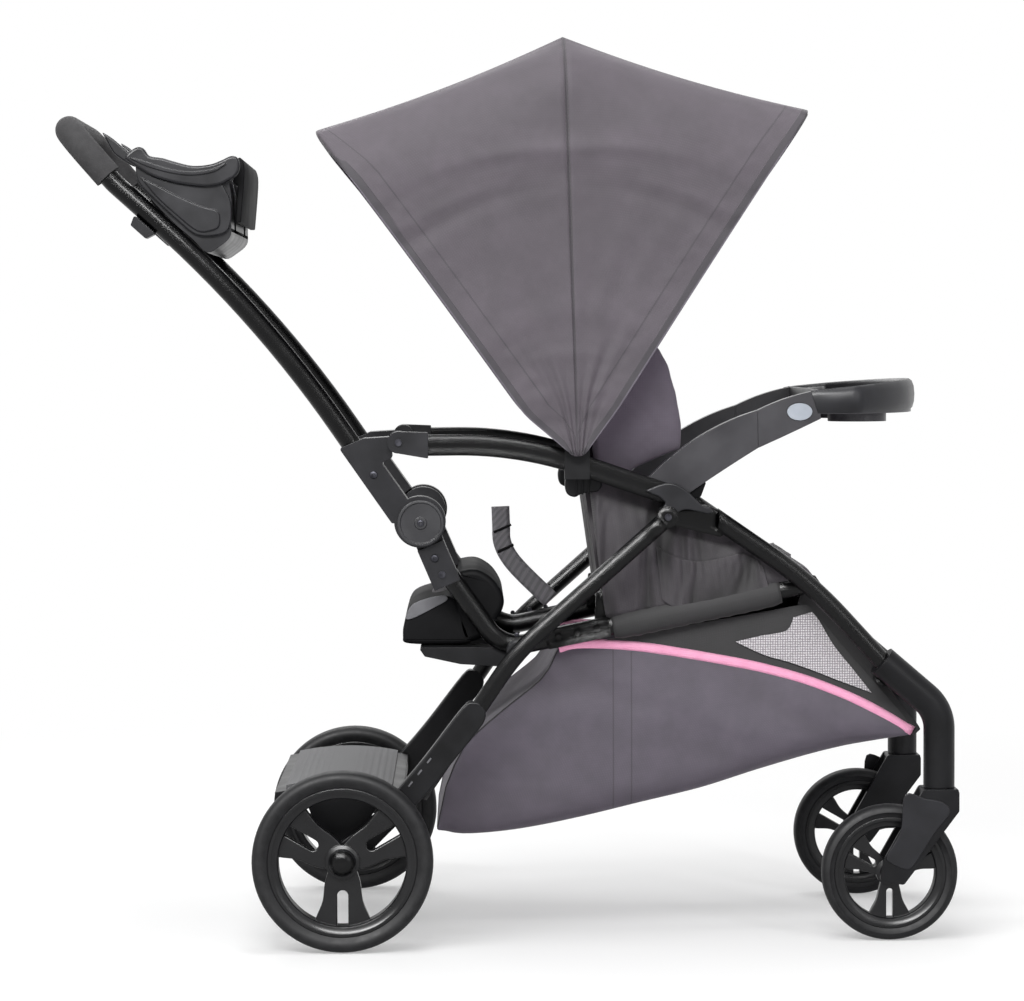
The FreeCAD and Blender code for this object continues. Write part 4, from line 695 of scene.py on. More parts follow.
seatSide = {"y": 172.2, "bulge": 2.0, "fabric": 1.6,
            "top": [(315, 592), (330, 601), (362, 590), (400, 573), (470, 545), (530, 513), (590, 469), (627, 439)],
            "low": [(332, 424), (345, 425), (370, 424), (400, 428), (470, 443), (530, 455), (582, 467), (604, 470)],
            "rear": [(327, 592), (330, 560), (333, 520), (333, 480), (331, 450), (332, 424)]}


def sideLow(x):
    # the cloth goes down to the padded sleeve on the push tube
    slope = math.tan(tubeSlope)
    return tubeBendZ + (x - tubeBendX) * slope + 10.5 / math.cos(tubeSlope)


def alongLine(points, share):
    # the place at a share of the way along a line
    lengths = [0.0]
    for a, b in zip(points, points[1:]):
        lengths.append(lengths[-1] + (Vector(b) - Vector(a)).length)
    target = share * lengths[-1]
    for i in range(len(points) - 1):
        if lengths[i + 1] >= target:
            part = (target - lengths[i]) / max(1e-9, lengths[i + 1] - lengths[i])
            return Vector(points[i]).lerp(Vector(points[i + 1]), part)
    return Vector(points[-1])


def seatSideSheet():
    top = smoothLine([(x, z, 0) for x, z in seatSide["top"]], 6, closed=False)
    rows = []
    for i in range(34):
        share = i / 33
        high = alongLine(top, share)
        lowX = 337 + (606 - 337) * share
        low = Vector((lowX, sideLow(lowX), 0))
        row = []
        for j in range(15):
            t = j / 14
            point = high.lerp(low, t)
            belly = math.sin(math.pi * share) ** 0.6 * math.sin(math.pi * t)
            crease = math.sin(share * 31 + t * 3) * 0.6 + math.sin(share * 17 - t * 7) * 0.5
            folds = math.sin(share * 62 + t * 2.5) * 1.5 * max(0.0, 1 - share * 4) * math.sin(math.pi * t) ** 0.5
            y = seatSide["y"] + belly * (seatSide["bulge"] + crease) + folds
            row.append(place(point.x, point.y, -y))
        rows.append(row)
    sheet = clothGrid("seat_side_cloth", rows)
    thicken(sheet, seatSide["fabric"], 0.0, 1)
    mirrorAcross(sheet)
    return sheet


sideSheet = seatSideSheet()
dress(sideSheet, sideCloth, "frame", ["seat_sides"])

pocket = {"y": 175.2, "top": [(402, 509), (413, 501), (425, 495), (438, 491), (453, 488), (468, 489), (483, 492),
                              (498, 496), (513, 498), (526, 493), (539, 481)],
          "low": [(409, 439), (420, 431), (433, 427), (446, 427), (459, 429), (472, 429), (486, 432), (500, 436),
                  (516, 441), (532, 447), (547, 453)]}


def pocketSheet():
    # a patch pocket gathered on its elastic top, full in the middle
    top = smoothLine([(x, z, 0) for x, z in pocket["top"]], 5, closed=False)
    low = smoothLine([(x, z, 0) for x, z in pocket["low"]], 5, closed=False)
    rows = []
    for i in range(49):
        share = i / 48
        high, foot = alongLine(top, share), alongLine(low, share)
        row = []
        for j in range(13):
            t = j / 12
            point = high.lerp(foot, t)
            gather = math.sin(share * 95) * 1.1 * (1 - t) ** 1.3
            full = math.sin(math.pi * share) ** 0.5 * (0.3 + math.sin(math.pi * min(1, t * 0.9 + 0.1)))
            row.append(place(point.x, point.y, -(pocket["y"] + 1.6 * full + gather)))
        rows.append(row)
    sheet = clothGrid("seat_pocket_cloth", rows)
    thicken(sheet, 1.4, 0.0, 1)
    mirrorAcross(sheet)
    return sheet


pocketCloth = pocketSheet()
dress(pocketCloth, sideCloth, "frame")
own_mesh(pocketCloth)


def sleeveOnTube(name, startAlong, endAlong, radius, y, wrinkle):
    # padded cloth sleeve round the push tube, with crosswise puckers
    rows = []
    for i in range(61):
        share = i / 60
        x, z = overTube(startAlong + (endAlong - startAlong) * share, 0)
        row = []
        for j in range(24):
            turn = 2 * math.pi * j / 24
            pinch = 1 - 0.16 * (abs(2 * share - 1) ** 10)
            r = radius * pinch + wrinkle * math.sin(share * 70 + math.sin(turn) * 2)
            up, out = math.sin(turn) * r * 1.18 - 2.0, math.cos(turn) * min(r, 13.2)
            row.append(place(x - up * math.sin(tubeSlope), z + up * math.cos(tubeSlope), -(y + out)))
        rows.append(row)
    sleeve = clothGrid(name, rows, loop=True)
    thicken(sleeve, 0.8, -1.0, 0)
    mirrorAcross(sleeve)
    return sleeve


sleeve = sleeveOnTube("seat_tube_sleeves", 146, 366, 14.6, 165.0, 0.35)
dress(sleeve, blackCloth, "frame", ["seat_hems"])
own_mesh(sleeve)


# Cushions are swollen from the frame's own soft solids.
cushions = {
    "seat_cushion": {"node": "seat_pad", "body": "frame", "voxel": 5.0, "cap": 5.0, "fill": 0.6},
    "seat_back_cushion": {"node": "seat_back_pad", "body": "seat_back", "voxel": 5.0, "cap": 5.0, "fill": 0.6,
                          "cloth": wingCloth},
    "jump_seat_cushion": {"node": "rear_seat_pad", "body": "frame", "voxel": 4.0, "cap": 4.0, "fill": 0.7},
    "leg_rest_cushion": {"node": "leg_rest", "body": "frame", "voxel": 3.0, "cap": 4.0, "fill": 0.4},
}


def swell(name, settings):
    source = nodes[settings["node"]]
    selectOnly(source)
    cushion = source.copy()
    cushion.data = source.data.copy()
    cushion.parent = None
    for key in list(cushion.keys()):
        del cushion[key]
    cushion.name = cushion.data.name = name
    bpy.context.scene.collection.objects.link(cushion)
    cushion.hide_render = cushion.hide_viewport = False
    closeUp(cushion)
    applyModifier(cushion, "REMESH", mode="VOXEL", voxel_size=settings["voxel"] / 1000)
    start = np.array([v.co for v in cushion.data.vertices])
    normals = np.array([v.normal for v in cushion.data.vertices])
    cushion.data.vertices.foreach_set("co", (start - normals * 0.002).ravel())
    before = np.array([v.co for v in cushion.data.vertices])
    selectOnly(cushion)
    cloth = cushion.modifiers.new("Swell", "CLOTH")
    cloth.settings.use_pressure = True
    cloth.settings.uniform_pressure_force = 4.0
    cloth.settings.effector_weights.gravity = 0.0
    cloth.settings.quality = 4
    scene = bpy.context.scene
    for step in range(1, 21):
        scene.frame_set(step)
    bpy.ops.object.modifier_apply(modifier=cloth.name)
    scene.frame_set(1)
    after = np.array([v.co for v in cushion.data.vertices])
    shift = after - before
    size = np.linalg.norm(shift, axis=1, keepdims=True)
    cap = settings["cap"] / 1000
    shift = shift * np.minimum(1.0, cap / np.maximum(size, 1e-9))
    cushion.data.vertices.foreach_set("co", (before + shift).ravel())
    cushion.data.update()
    applyModifier(cushion, "SUBSURF", levels=1, render_levels=1)
    selectOnly(cushion)
    bpy.ops.object.shade_smooth()
    dress(cushion, settings.get("cloth", padCloth), settings["body"], [settings["node"]])
    return cushion


for name, settings in cushions.items():
    swell(name, settings)
print("seat made")

# Basket: an open cloth tub hung under the push tubes, grey below its pink piping and black above.
basket = {"half": 159.0, "bulge": 5.0, "fabric": 1.6,
          "top": [(118.8, 141.2), (124, 168), (129.4, 193.1), (143, 228), (161.9, 257.7), (205, 296), (253.7, 334.9),
                  (268, 356), (280, 376), (340, 386.5), (400, 397), (470, 409), (540, 421), (586, 429.5), (599, 429),
                  (626, 398), (660, 358), (700, 312), (724, 284), (735, 267)],
          "piping": [(276.7, 375.6), (300.3, 381), (348.8, 380), (397, 375), (477, 361.5), (541.4, 348.4),
                     (605.6, 329.6), (670, 302.4), (734.3, 266)],
          "low": [(118.8, 141), (138, 134.5), (161.4, 133.2), (205, 137), (251.8, 144.4), (315, 157), (381.1, 172.3),
                  (458.7, 191.3), (536.3, 216.5), (614, 238), (691.6, 254), (735, 262)]}


def heightAt(points, x):
    for (ax, az), (bx, bz) in zip(points, points[1:]):
        if ax <= x <= bx and bx > ax:
            return az + (bz - az) * (x - ax) / (bx - ax)
    return points[0][1] if x < points[0][0] else points[-1][1]


def smoothPairs(points, steps=5):
    return [(p.x, p.y) for p in smoothLine([(x, z, 0) for x, z in points], steps, closed=False)]


def basketSection(x, half, topLine, pipingLine, lowLine):
    # near side from the mouth down, across the sagging bottom and up the far side
    top, low = heightAt(topLine, x), heightAt(lowLine, x)
    band = heightAt(pipingLine, x) if x > 276.7 else top
    band = min(max(band, low), top)
    share = (x - 118.8) / (735 - 118.8)
    full = math.sin(math.pi * min(1, max(0, share))) ** 0.5
    depth = max(0.0, band - low)
    ends = min(1.0, (x - 118.8) / 14 + 0.35, (737 - x) / 14 + 0.35)
    near = []
    for j in range(5):
        z = top + (band - top) * j / 5
        near.append((half - 1.5 * (j / 5), z))
    corner = min(26.0, depth * 0.4)
    for j in range(12):
        t = j / 11
        z = band - (depth - corner) * t
        ripple = 0.9 * math.sin(x * 0.045 + t * 2.4) + 0.5 * math.sin(x * 0.11 - t * 4)
        bulge = basket["bulge"] * math.sin(math.pi * t * 0.85) * full + ripple * full * math.sin(math.pi * t)
        near.append((half - 1.5 + bulge, z))
    out = near[-1][0]
    for degrees in (22, 45, 68):
        a = math.radians(degrees)
        near.append((out - corner + corner * math.cos(a), low + corner - corner * math.sin(a)))
    floor = []
    for j in range(11):
        y = (out - corner) * (1 - 2 * j / 10)
        sag = 3.0 * full * (1 - (y / half) ** 2)
        floor.append((y, low - sag * 0.6 + 0.8 * math.sin(j * 1.9 + x * 0.02) * full))
    return [(-y * 1.0, z) for y, z in near] + [(-y, z) for y, z in floor] + [(y, z) for y, z in reversed(near)]


def basketTub():
    topLine, pipingLine, lowLine = (smoothPairs(basket[k]) for k in ("top", "piping", "low"))
    stations = list(np.linspace(119.4, 276, 15)) + list(np.linspace(284, 586, 25)) + list(np.linspace(597, 733.5, 16))
    rows = []
    for x in stations:
        section = basketSection(x, basket["half"], topLine, pipingLine, lowLine)
        rows.append([place(x, z, y) for y, z in section])
    tub = clothGrid("basket_tub", rows)
    # the end walls close the tub behind its mouth and in front of it
    mesh = tub.data
    across = len(rows[0])
    points = [v.co.copy() for v in mesh.vertices]
    faces = [tuple(p.vertices) for p in mesh.polygons]
    uvs = [mesh.uv_layers[0].data[i].uv.copy() for i in range(len(mesh.loops))]
    walls = []
    for i in range(len(stations) - 1):
        if stations[i + 1] <= 276.5 or stations[i] >= 596:
            walls.append((i * across, (i + 1) * across, (i + 1) * across + across - 1, i * across + across - 1))
    closers = [tuple(range(across)), tuple(reversed(range((len(rows) - 1) * across, len(rows) * across)))]
    full = bpy.data.meshes.new("basket_tub")
    full.from_pydata(points, [], faces + walls + closers)
    layer = full.uv_layers.new(name="cloth")
    for k, uv in enumerate(uvs):
        layer.data[k].uv = uv
    for k in range(len(uvs), len(full.loops)):
        co = full.vertices[full.loops[k].vertex_index].co
        layer.data[k].uv = (co.y, co.x)
    # black cloth above the piping
    side = [0, 1, 2, 3, 4]
    for polygon in full.polygons[:len(faces)]:
        column = min(v % across for v in polygon.vertices)
        if column in side or column >= across - 1 - 5:
            polygon.material_index = 1
    for polygon in full.polygons[len(faces):]:
        centreX = sum((full.vertices[v].co.x for v in polygon.vertices)) / len(polygon.vertices)
        polygon.material_index = 1 if centreX > 0.3 else 0
    tub.data = full
    slots = [p.material_index for p in full.polygons]
    sideBySlot = [basketCloth, blackCloth]
    for material in sideBySlot:
        full.materials.append(material)
    full.polygons.foreach_set("material_index", slots)
    applyModifier(tub, "SOLIDIFY", thickness=basket["fabric"] / 1000, offset=0.0)
    closeUp(tub)
    selectOnly(tub)
    bpy.ops.object.shade_smooth_by_angle(angle=math.radians(50))
    return tub


tub = basketTub()
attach(tub, "frame")
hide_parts("basket")
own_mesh(tub)


def ribbonOnBasket(name, line, width, material, proud, thickness, sides=(-1, 1)):
    # a band sewn to the basket's side along a smooth line
    smooth = smoothPairs(line, 8)
    lowLine, topLine, pipingLine = (smoothPairs(basket[k]) for k in ("low", "top", "piping"))
    pieces = []
    for side in sides:
        rows = []
        for i, (x, z) in enumerate(smooth):
            ahead = smooth[min(i + 1, len(smooth) - 1)]
            behind = smooth[max(i - 1, 0)]
            run = Vector((ahead[0] - behind[0], ahead[1] - behind[1])).normalized()
            up = Vector((-run.y, run.x))
            row = []
            for j in range(5):
                t = j / 4 - 0.5
                crown = proud * (1 - (2 * t) ** 4)
                row.append(place(x + up.x * t * width, z + up.y * t * width,
                                 side * (basket["half"] - 1.5 + crown + 0.6)))
            rows.append(row)
        pieces.append(clothGrid(name, rows))
    if len(pieces) > 1:
        joinInto(pieces[0], pieces[1:])
    band = pieces[0]
    band.name = name
    thicken(band, thickness, 0.0, 0)
    dress(band, material, "frame")
    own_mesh(band)
    return band


piping = ribbonOnBasket("basket_piping", basket["piping"], 11.5, pipingCloth, 2.2, 1.6)

windowLine = [(505, 383), (540, 391), (571, 397), (580, 414), (604, 421), (613, 410), (631, 379), (655, 349),
              (681, 316), (660, 324), (636, 333), (606, 345), (572, 357), (541, 366)]


def basketWindow():
    # a knitted mesh panel set in the black cloth on each side
    outline = smoothLine([(x, z, 0) for x, z in windowLine], 3, corners=(0, 3, 4, 8))
    window = plate("basket_window", [(p.x, p.y) for p in outline], -(basket["half"] + 2.0), -(basket["half"] + 0.9),
                   0.0)
    layer = window.data.uv_layers.new(name="cloth") if not window.data.uv_layers else window.data.uv_layers[0]
    for loop in window.data.loops:
        co = window.data.vertices[loop.vertex_index].co
        layer.data[loop.index].uv = (co.x, co.z)
    mirrorAcross(window)
    dress(window, windowMesh, "frame")
    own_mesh(window)
    return window


window = basketWindow()
print("basket made")


def ribbon(name, points, width, thickness, y, steps=8):
    # flat webbing along a line seen from the side, on edge to it
    line = smoothLine([(x, z, 0) for x, z in points], steps, closed=False)
    rows = []
    for i, p in enumerate(line):
        run = (line[min(i + 1, len(line) - 1)] - line[max(i - 1, 0)]).normalized()
        up = Vector((-run.y, run.x, 0)) * width / 2
        rows.append([place(p.x + up.x * t, p.y + up.y * t, y) for t in (-1, -0.5, 0, 0.5, 1)])
    band = clothGrid(name, rows)
    thicken(band, thickness, 0.0, 0)
    return band


crossX, crossZ = 222.0, 376.0
def frontGusset():
    # black cloth that closes the basket's corner up to the front leg
    upper = [(592, 452), (612, 438), (640, 404), (668, 371), (694, 337), (716, 305), (738, 279), (745, 268)]
    lower = [(585, 430), (600, 424), (618, 402), (648, 362), (676, 326), (702, 295), (724, 272), (736, 260)]
    rows = []
    for high, foot in zip(smoothPairs(upper, 3), smoothPairs(lower, 3)):
        row = []
        for j in range(6):
            t = j / 5
            row.append(place(high[0] + (foot[0] - high[0]) * t, high[1] + (foot[1] - high[1]) * t,
                             -(155.5 + 2.2 * t)))
        rows.append(row)
    cloth = clothGrid("basket_gusset", rows)
    thicken(cloth, 1.4, 0.0, 1)
    mirrorAcross(cloth)
    dress(cloth, blackCloth, "frame")
    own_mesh(cloth)
    return cloth


gusset = frontGusset()

belt = ribbon("jump_seat_belt", [(crossX - 16, crossZ + 166), (crossX - 15, crossZ + 140), (crossX - 14, crossZ + 118),
                                 (crossX - 5, crossZ + 97), (crossX + 14, crossZ + 74), (crossX + 54, crossZ + 35)],
              25, 2.2, 202.6)
dress(belt, strapWebbing, "frame", ["rear_belt"])

strapLow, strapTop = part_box("shoulder_straps")


def harness():
    # two flat straps that follow the cushion of the seat back, slightly bowed off it
    pieces = []
    lean = math.radians(8)
    for side in (-1, 1):
        rows = []
        for i in range(25):
            t = i / 24
            z = 103 + 178 * t
            away = 5.3 + 30.0 + 1.0 + 1.2 * math.sin(math.pi * t * 3)
            x = 336 + away * math.cos(lean) - z * math.sin(lean)
            height = 442 + away * math.sin(lean) + z * math.cos(lean)
            rows.append([place(x, height, side * 52 + 15 * s) for s in (-1, -0.5, 0, 0.5, 1)])
        pieces.append(clothGrid("harness_straps", rows))
    joinInto(pieces[0], pieces[1:])
    pieces[0].name = "harness_straps"
    thicken(pieces[0], 1.8, 0.0, 0)
    return pieces[0]


straps = harness()
dress(straps, strapWebbing, "seat_back", ["shoulder_straps"])
print("straps made")

# Moulded covers: the parent console, hinge caps, tray rim and jump seat, with softer forms than their frame nodes.
def outlined(points, steps=5, corners=()):
    return [(p.x, p.y) for p in smoothLine([(x, z, 0) for x, z in points], steps, corners=corners)]


def bored(obj, x, z, y, radius, depth):
    # an upright round well
    bpy.ops.object.select_all(action="DESELECT")
    bpy.ops.mesh.primitive_cylinder_add(vertices=64, radius=radius / 1000, depth=depth / 1000, location=place(x, z, y))
    tool = bpy.context.active_object
    applyModifier(obj, "BOOLEAN", operation="DIFFERENCE", object=tool, solver="EXACT")
    bpy.data.objects.remove(tool)


def consolePieces():
    # the near and far walls carry the swept crescent; the floor between them has two cup wells and a bin
    wall = plate("console_walls", outlined([(-262, 1000), (-241.3, 984.2), (-210, 974.5), (-176.2, 970.3), (-152, 974),
                                            (-141.5, 951.4), (-141.5, 922.5), (-152.5, 909.6), (-183.9, 908.5),
                                            (-210.3, 928.5), (-236.7, 953), (-258, 976)], 5, (0, 4)), -174.5, -168, 1.4)
    panel = plate("console_panel", outlined([(-256, 982.5), (-229.3, 968.5), (-205.3, 956.4), (-176.4, 944.3),
                                             (-157, 938), (-155.5, 920), (-166, 913.5), (-184, 913.5), (-209, 933),
                                             (-235, 957)], 5, (0,)), -177, -173.5, 1.4)
    rim = plate("console_rim", outlined([(-274.8, 1007.2), (-262, 1019), (-251.8, 1019), (-243.5, 1009), (-226.6, 1006),
                                         (-209.8, 1001), (-188.1, 996.2), (-166.4, 998), (-151.8, 1003.2),
                                         (-139.7, 1008.5), (-131.3, 1006), (-129, 994.7), (-133, 984), (-143, 977.5),
                                         (-155.7, 971.7), (-176.2, 969.8), (-210, 974.3), (-241.3, 984),
                                         (-265.3, 998.5)], 4), -180, -164, 3.0)
    groove = plate("console_band", outlined([(-268, 1006.5), (-248.4, 996.5), (-219.5, 988), (-190.6, 984.2),
                                             (-163, 988), (-149, 996), (-147, 999), (-163, 992), (-190.6, 988.5),
                                             (-219.5, 992.5), (-248, 1001.5)], 4), -182.2, -179, 0.4)
    for piece in (wall, panel, rim, groove):
        mirrorAcross(piece)
    tub = plate("console_tub", outlined([(-250, 992), (-222, 984), (-190, 979), (-160, 982), (-146, 985), (-140.5, 960),
                                         (-140.5, 922.5), (-142, 906), (-155, 894), (-172, 886), (-190, 903),
                                         (-216, 926), (-245, 957), (-262, 980)], 4, (4,)), -169, 169, 0.0)
    bored(tub, -176, 975, -95, 39, 120)
    bored(tub, -176, 975, 95, 39, 120)
    bored(tub, -176, 985, 0, 32, 90)
    applyModifier(tub, "BEVEL", width=0.0016, segments=3, limit_method="ANGLE", angle_limit=math.radians(50))
    closeUp(tub)
    shadeByAngle(tub)
    loop = plate("console_lip", outlined([(-139, 976), (-136, 1000), (-131, 1008), (-126, 1002), (-124.6, 983),
                                          (-129.5, 925), (-136.5, 925), (-133.5, 970)], 4, (5, 6)), -150, 150, 1.4)
    spout = plate("console_prongs", outlined([(-309, 1042.5), (-296, 1034.6), (-273, 1015.1), (-262, 1006),
                                              (-268, 998), (-290.1, 1011.5), (-298, 1021)], 4, (0,)), -128, -112, 2.0)
    mirrorAcross(spout)
    joinInto(tub, [wall, panel, rim, groove, spout])
    tub.name = tub.data.name = "console_body"
    return tub, loop


consoleBody, consoleLip = consolePieces()
dress(consoleBody, framePlastic, "handle", ["parent_console"])
dress(consoleLip, mattPlastic, "handle")

capProfile = [(0, 4), (30, 4), (30.3, -1.0), (29.2, -2.6), (26.6, -2.9), (25.4, -1.2), (8.2, -1.2), (7.4, -2.8), (0, -3.0)]
caps = turned("hinge_cap_shells", capProfile, 99.9, 539.3, -189.5)
mirrorAcross(caps)
dress(caps, capPlastic, "frame", ["hinge_caps"])


def screwHeads(name, places, radius):
    # domed screw heads with a cross recess ring, near side and far side
    heads = []
    for x, z, y in places:
        profile = [(0, 2.5), (radius, 2.5), (radius, 0.2), (radius * 0.8, -0.9), (radius * 0.42, -1.3),
                   (radius * 0.34, -0.5), (0, -0.4)]
        heads.append(turned(name, profile, x, z, y, 32))
    if len(heads) > 1:
        joinInto(heads[0], heads[1:])
    heads[0].name = heads[0].data.name = name
    mirrorAcross(heads[0])
    return heads[0]


dress(screwHeads("cap_screws", [(99.9, 539.3, -192.0)], 5.0), screwZinc, "frame")


def junctionCovers():
    # a hooked cover over the pivot of the leg, the rail and the tray arm, with a round boss
    x, z = 415.0, 547.0
    hook = [(-28, 34), (-13.8, 39.7), (-5.8, 42), (0.4, 42.9), (10.3, 41.5), (19.2, 37), (26.4, 31.7), (35.3, 22.8),
            (44.2, 14.7), (54.9, 11.2), (58, 5), (49.6, 4), (30, 8.8), (21, 8.9), (13.8, 5.8), (12.2, 0), (8.8, -8.8),
            (0, -12.5), (-8.8, -8.8), (-12.4, 0), (-10.3, 9.4), (-7.6, 11.2), (-3, 17.4), (-6.5, 22), (-12, 26.5),
            (-20, 29.5)]
    cover = plate("junction_covers", outlined([(x + a, z + b) for a, b in hook], 3, (0, 9, 10)), -207.5, -198.0, 1.6)
    inner = plate("junction_core", outlined([(x + a * 0.93, z + 2 + b * 0.86) for a, b in hook], 3, (0, 9, 10)),
                  -198.5, -158.0, 0.0)
    boss = turned("junction_boss", [(0, 3), (12.4, 3), (12.4, -2.2), (11.2, -3.4), (6.6, -3.4), (6.2, -1.8), (0, -1.8)],
                  x, z, -207.5, 48)
    joinInto(cover, [inner, boss])
    mirrorAcross(cover)
    return cover


dress(junctionCovers(), framePlastic, "frame", ["junctions"])
dress(screwHeads("pivot_screws", [(415.0, 547.0, -211.0), (117.6, 493.9, -184.0)], 5.2),
      screwZinc, "frame")
dress(screwHeads("hinge_arm_screws", [(40.1, 601.5, -190.5)], 5.2), screwZinc, "handle")
web = plate("arm_webs", [(428, 577), (441.4, 579.5), (462, 591.5), (465.5, 589.5), (459, 572), (447, 566)], -186, -178,
            1.0)
mirrorAcross(web)
dress(web, mattPlastic, "frame")

clip = plate("recline_grips", outlined([(285.1, 589.1), (288.7, 599.5), (297.6, 601.5), (321.4, 596.4), (332.7, 590.4),
                                        (328.8, 579.4), (316.9, 577), (306.5, 575.6), (297.5, 571.2), (287.6, 575.7)], 4),
             -176, -150, 3.0)
ridges = [plate("recline_ridge", [(x, 574.5), (x + 2.4, 574.5), (x + 3.6, 598), (x + 1.2, 598)], -177.4, -174, 0.8)
          for x in (298, 306, 314)]
joinInto(clip, ridges)
mirrorAcross(clip)
dress(clip, darkPlastic, "frame", ["recline_clips"])

bracket = plate("axle_brackets", outlined([(-17, 108), (-9, 97), (8, 95), (20, 104), (40, 128), (84, 172), (118, 210),
                                           (160, 262), (181, 290), (178, 308), (166, 313), (152, 305), (104, 243),
                                           (70, 203), (30, 160), (-6, 132)], 4, (3,)), -226, -204, 2.0)
mirrorAcross(bracket)
dress(bracket, darkPlastic, "frame", ["rear_brackets"])
slots = [plate("bracket_slot", [(x, z), (x + 5, z + 6.4), (x + 3.4, z + 7.8), (x - 1.6, z + 1.4)], -227.2, -225, 0.4)
         for x, z in ((72, 190), (84, 205), (96, 220), (108, 235))]
joinInto(slots[0], slots[1:])
slots[0].name = slots[0].data.name = "bracket_slots"
mirrorAcross(slots[0])
dress(slots[0], trimPlastic, "frame")

for side, tag in ((-1, "r"), (1, "l")):
    # a domed black cap hides each end of the rear axle
    hub = turned("rear_hub_cap_" + tag, [(0, 4), (15, 4), (15.4, 0.5), (14.4, -1.2), (11.0, -3.0), (5.0, -3.9), (0, -4.1)],
                 0, 115, -271.5, 48)
    if side > 0:
        hub.data.transform(Matrix.Scale(-1, 4, (0, 1, 0)))
        closeUp(hub)
    dress(hub, tubeBlack, "rear_wheel_right" if side < 0 else "rear_wheel_left")

forkPanel = outlined([(718, 190), (743.6, 185), (766, 180), (776, 167), (757, 141.8), (731, 101), (719.4, 94), (700, 102),
                      (695, 111), (712.9, 144.7)], 4)
for side, tag, body in ((-1, "r", "caster_right"), (1, "l", "caster_left")):
    # a raised panel on the outer cheek of each caster fork
    cheek = plate("fork_panel_" + tag, forkPanel, -211.6, -209.0, 1.2)
    if side > 0:
        cheek.data.transform(Matrix.Scale(-1, 4, (0, 1, 0)))
        closeUp(cheek)
    dress(cheek, framePlastic, body)
dress(screwHeads("rivets", [(222.4, 395.0, -181.5), (246.0, 399.0, -181.5), (268.0, 403.0, -181.5)], 3.2), screwZinc,
      "frame")


def trayRim():
    # the swept rim: one rounded section carried round the tray, low at the arms and high at the nose
    front, shoulder, rear, half = 750.0, 660.0, 604.0, 189.5
    depth = front - shoulder
    radius = (half ** 2 + depth ** 2) / (2 * depth)
    line = [(x, -half) for x in np.linspace(rear, shoulder, 8)[:-1]]
    reach = math.asin(half / radius) if depth < radius else math.pi / 2
    for turn in np.linspace(-reach, reach, 57):
        line.append((front - radius + radius * math.cos(turn), radius * math.sin(turn)))
    line += [(x, half) for x in np.linspace(shoulder, rear, 8)[1:]]
    section = [(-5.5, 0.02), (-1, -0.02), (2.2, 0.07), (4.2, 0.25), (4.8, 0.5), (3.8, 0.76), (1.2, 0.93), (-2.5, 1.0),
               (-6.5, 0.97), (-8.6, 0.86), (-9.0, 0.6), (-8.6, 0.45)]
    bpy.ops.object.select_all(action="DESELECT")
    bpy.ops.mesh.primitive_grid_add(x_subdivisions=len(line) - 1, y_subdivisions=len(section))
    rim = nameNew("tray_rim")
    count = len(line)
    for i, (x, y) in enumerate(line):
        ahead, behind = line[min(i + 1, count - 1)], line[max(i - 1, 0)]
        run = Vector((ahead[0] - behind[0], ahead[1] - behind[1])).normalized()
        out = Vector((run.y, -run.x))
        ends = min(i, count - 1 - i) / 6
        share = min(1.0, max(0.0, (x - rear) / (front - rear)))
        low = 677.5 + 3.0 * share ** 2
        high = 706.5 + 14.0 * share ** 0.8
        swell_ = min(1.0, 0.35 + ends)
        for j in range(len(section) + 1):
            away, up = section[j % len(section)]
            lean = 9.0 * (0.5 - up) * (1 - min(1.0, ends))
            rim.data.vertices[j * count + i].co = place(x + out.x * away * swell_ + lean, low + (high - low) * up,
                                                        y + out.y * away * swell_)
    editAll(rim)
    bpy.ops.mesh.remove_doubles(threshold=0.00002)
    bpy.ops.mesh.select_all(action="DESELECT")
    bpy.ops.mesh.select_non_manifold()
    bpy.ops.mesh.edge_face_add()
    bpy.ops.object.mode_set(mode="OBJECT")
    closeUp(rim)
    shadeByAngle(rim, 50)
    return rim


dress(trayRim(), framePlastic, "tray")


def jumpSeat():
    # a low rounded shell with a raised lobe behind the rider's legs
    low = plate("jump_seat_shell", outlined([(75.5, 389), (76.1, 401.7), (82, 421), (92, 432.5), (112, 439),
                                             (134.1, 442), (146, 433), (156, 412), (163, 395), (163, 381),
                                             (120, 379), (80, 381)], 5, (0,)), -138, 138, 5.0, 4)
    lobe = plate("jump_seat_lobe", outlined([(147.8, 470), (156, 475.5), (172.4, 475.8), (188.7, 467), (199.5, 454.4),
                                             (206.5, 438), (204.5, 424), (196, 409), (188, 394), (170, 384),
                                             (152, 384), (144, 410), (143, 440)], 5), -138, 138, 7.0, 4)
    joinInto(low, [lobe])
    return low


dress(jumpSeat(), mattPlastic, "frame", ["rear_seat"])
# painted highlight: the pale strip along the jump seat's top edge is partly a silver band and partly light catching the
# edge
trim = plate("jump_seat_trim_and_highlight", outlined([(79.5, 413), (84.5, 427), (94, 434.5), (112, 440.5), (130, 443.5), (133, 437),
                                         (110, 424), (90, 414)], 5, (4,)), -139.6, -137, 0.6)
mirrorAcross(trim)
dress(trim, trimPlastic, "frame")
beltBars = plate("belt_bars", [(197.0, 504.4), (221.6, 514.9), (220.3, 517.9), (195.7, 507.4)], 200.2, 205.0, 0.4)
barTwin = plate("belt_bar_low", [(202.5, 476.8), (224.9, 486.9), (223.5, 490.2), (201.1, 480.1)], 200.2, 205.0, 0.4)
joinInto(beltBars, [barTwin])
dress(beltBars, mattPlastic, "frame")
print("covers made")

# Stage: a plain pale floor that fades to white, three soft lamps and the camera at the photograph's angle.
stage = {"floorSize": 60.0, "shadowReach": 1.1, "whiteFrom": 2.4, "world": 0.46}


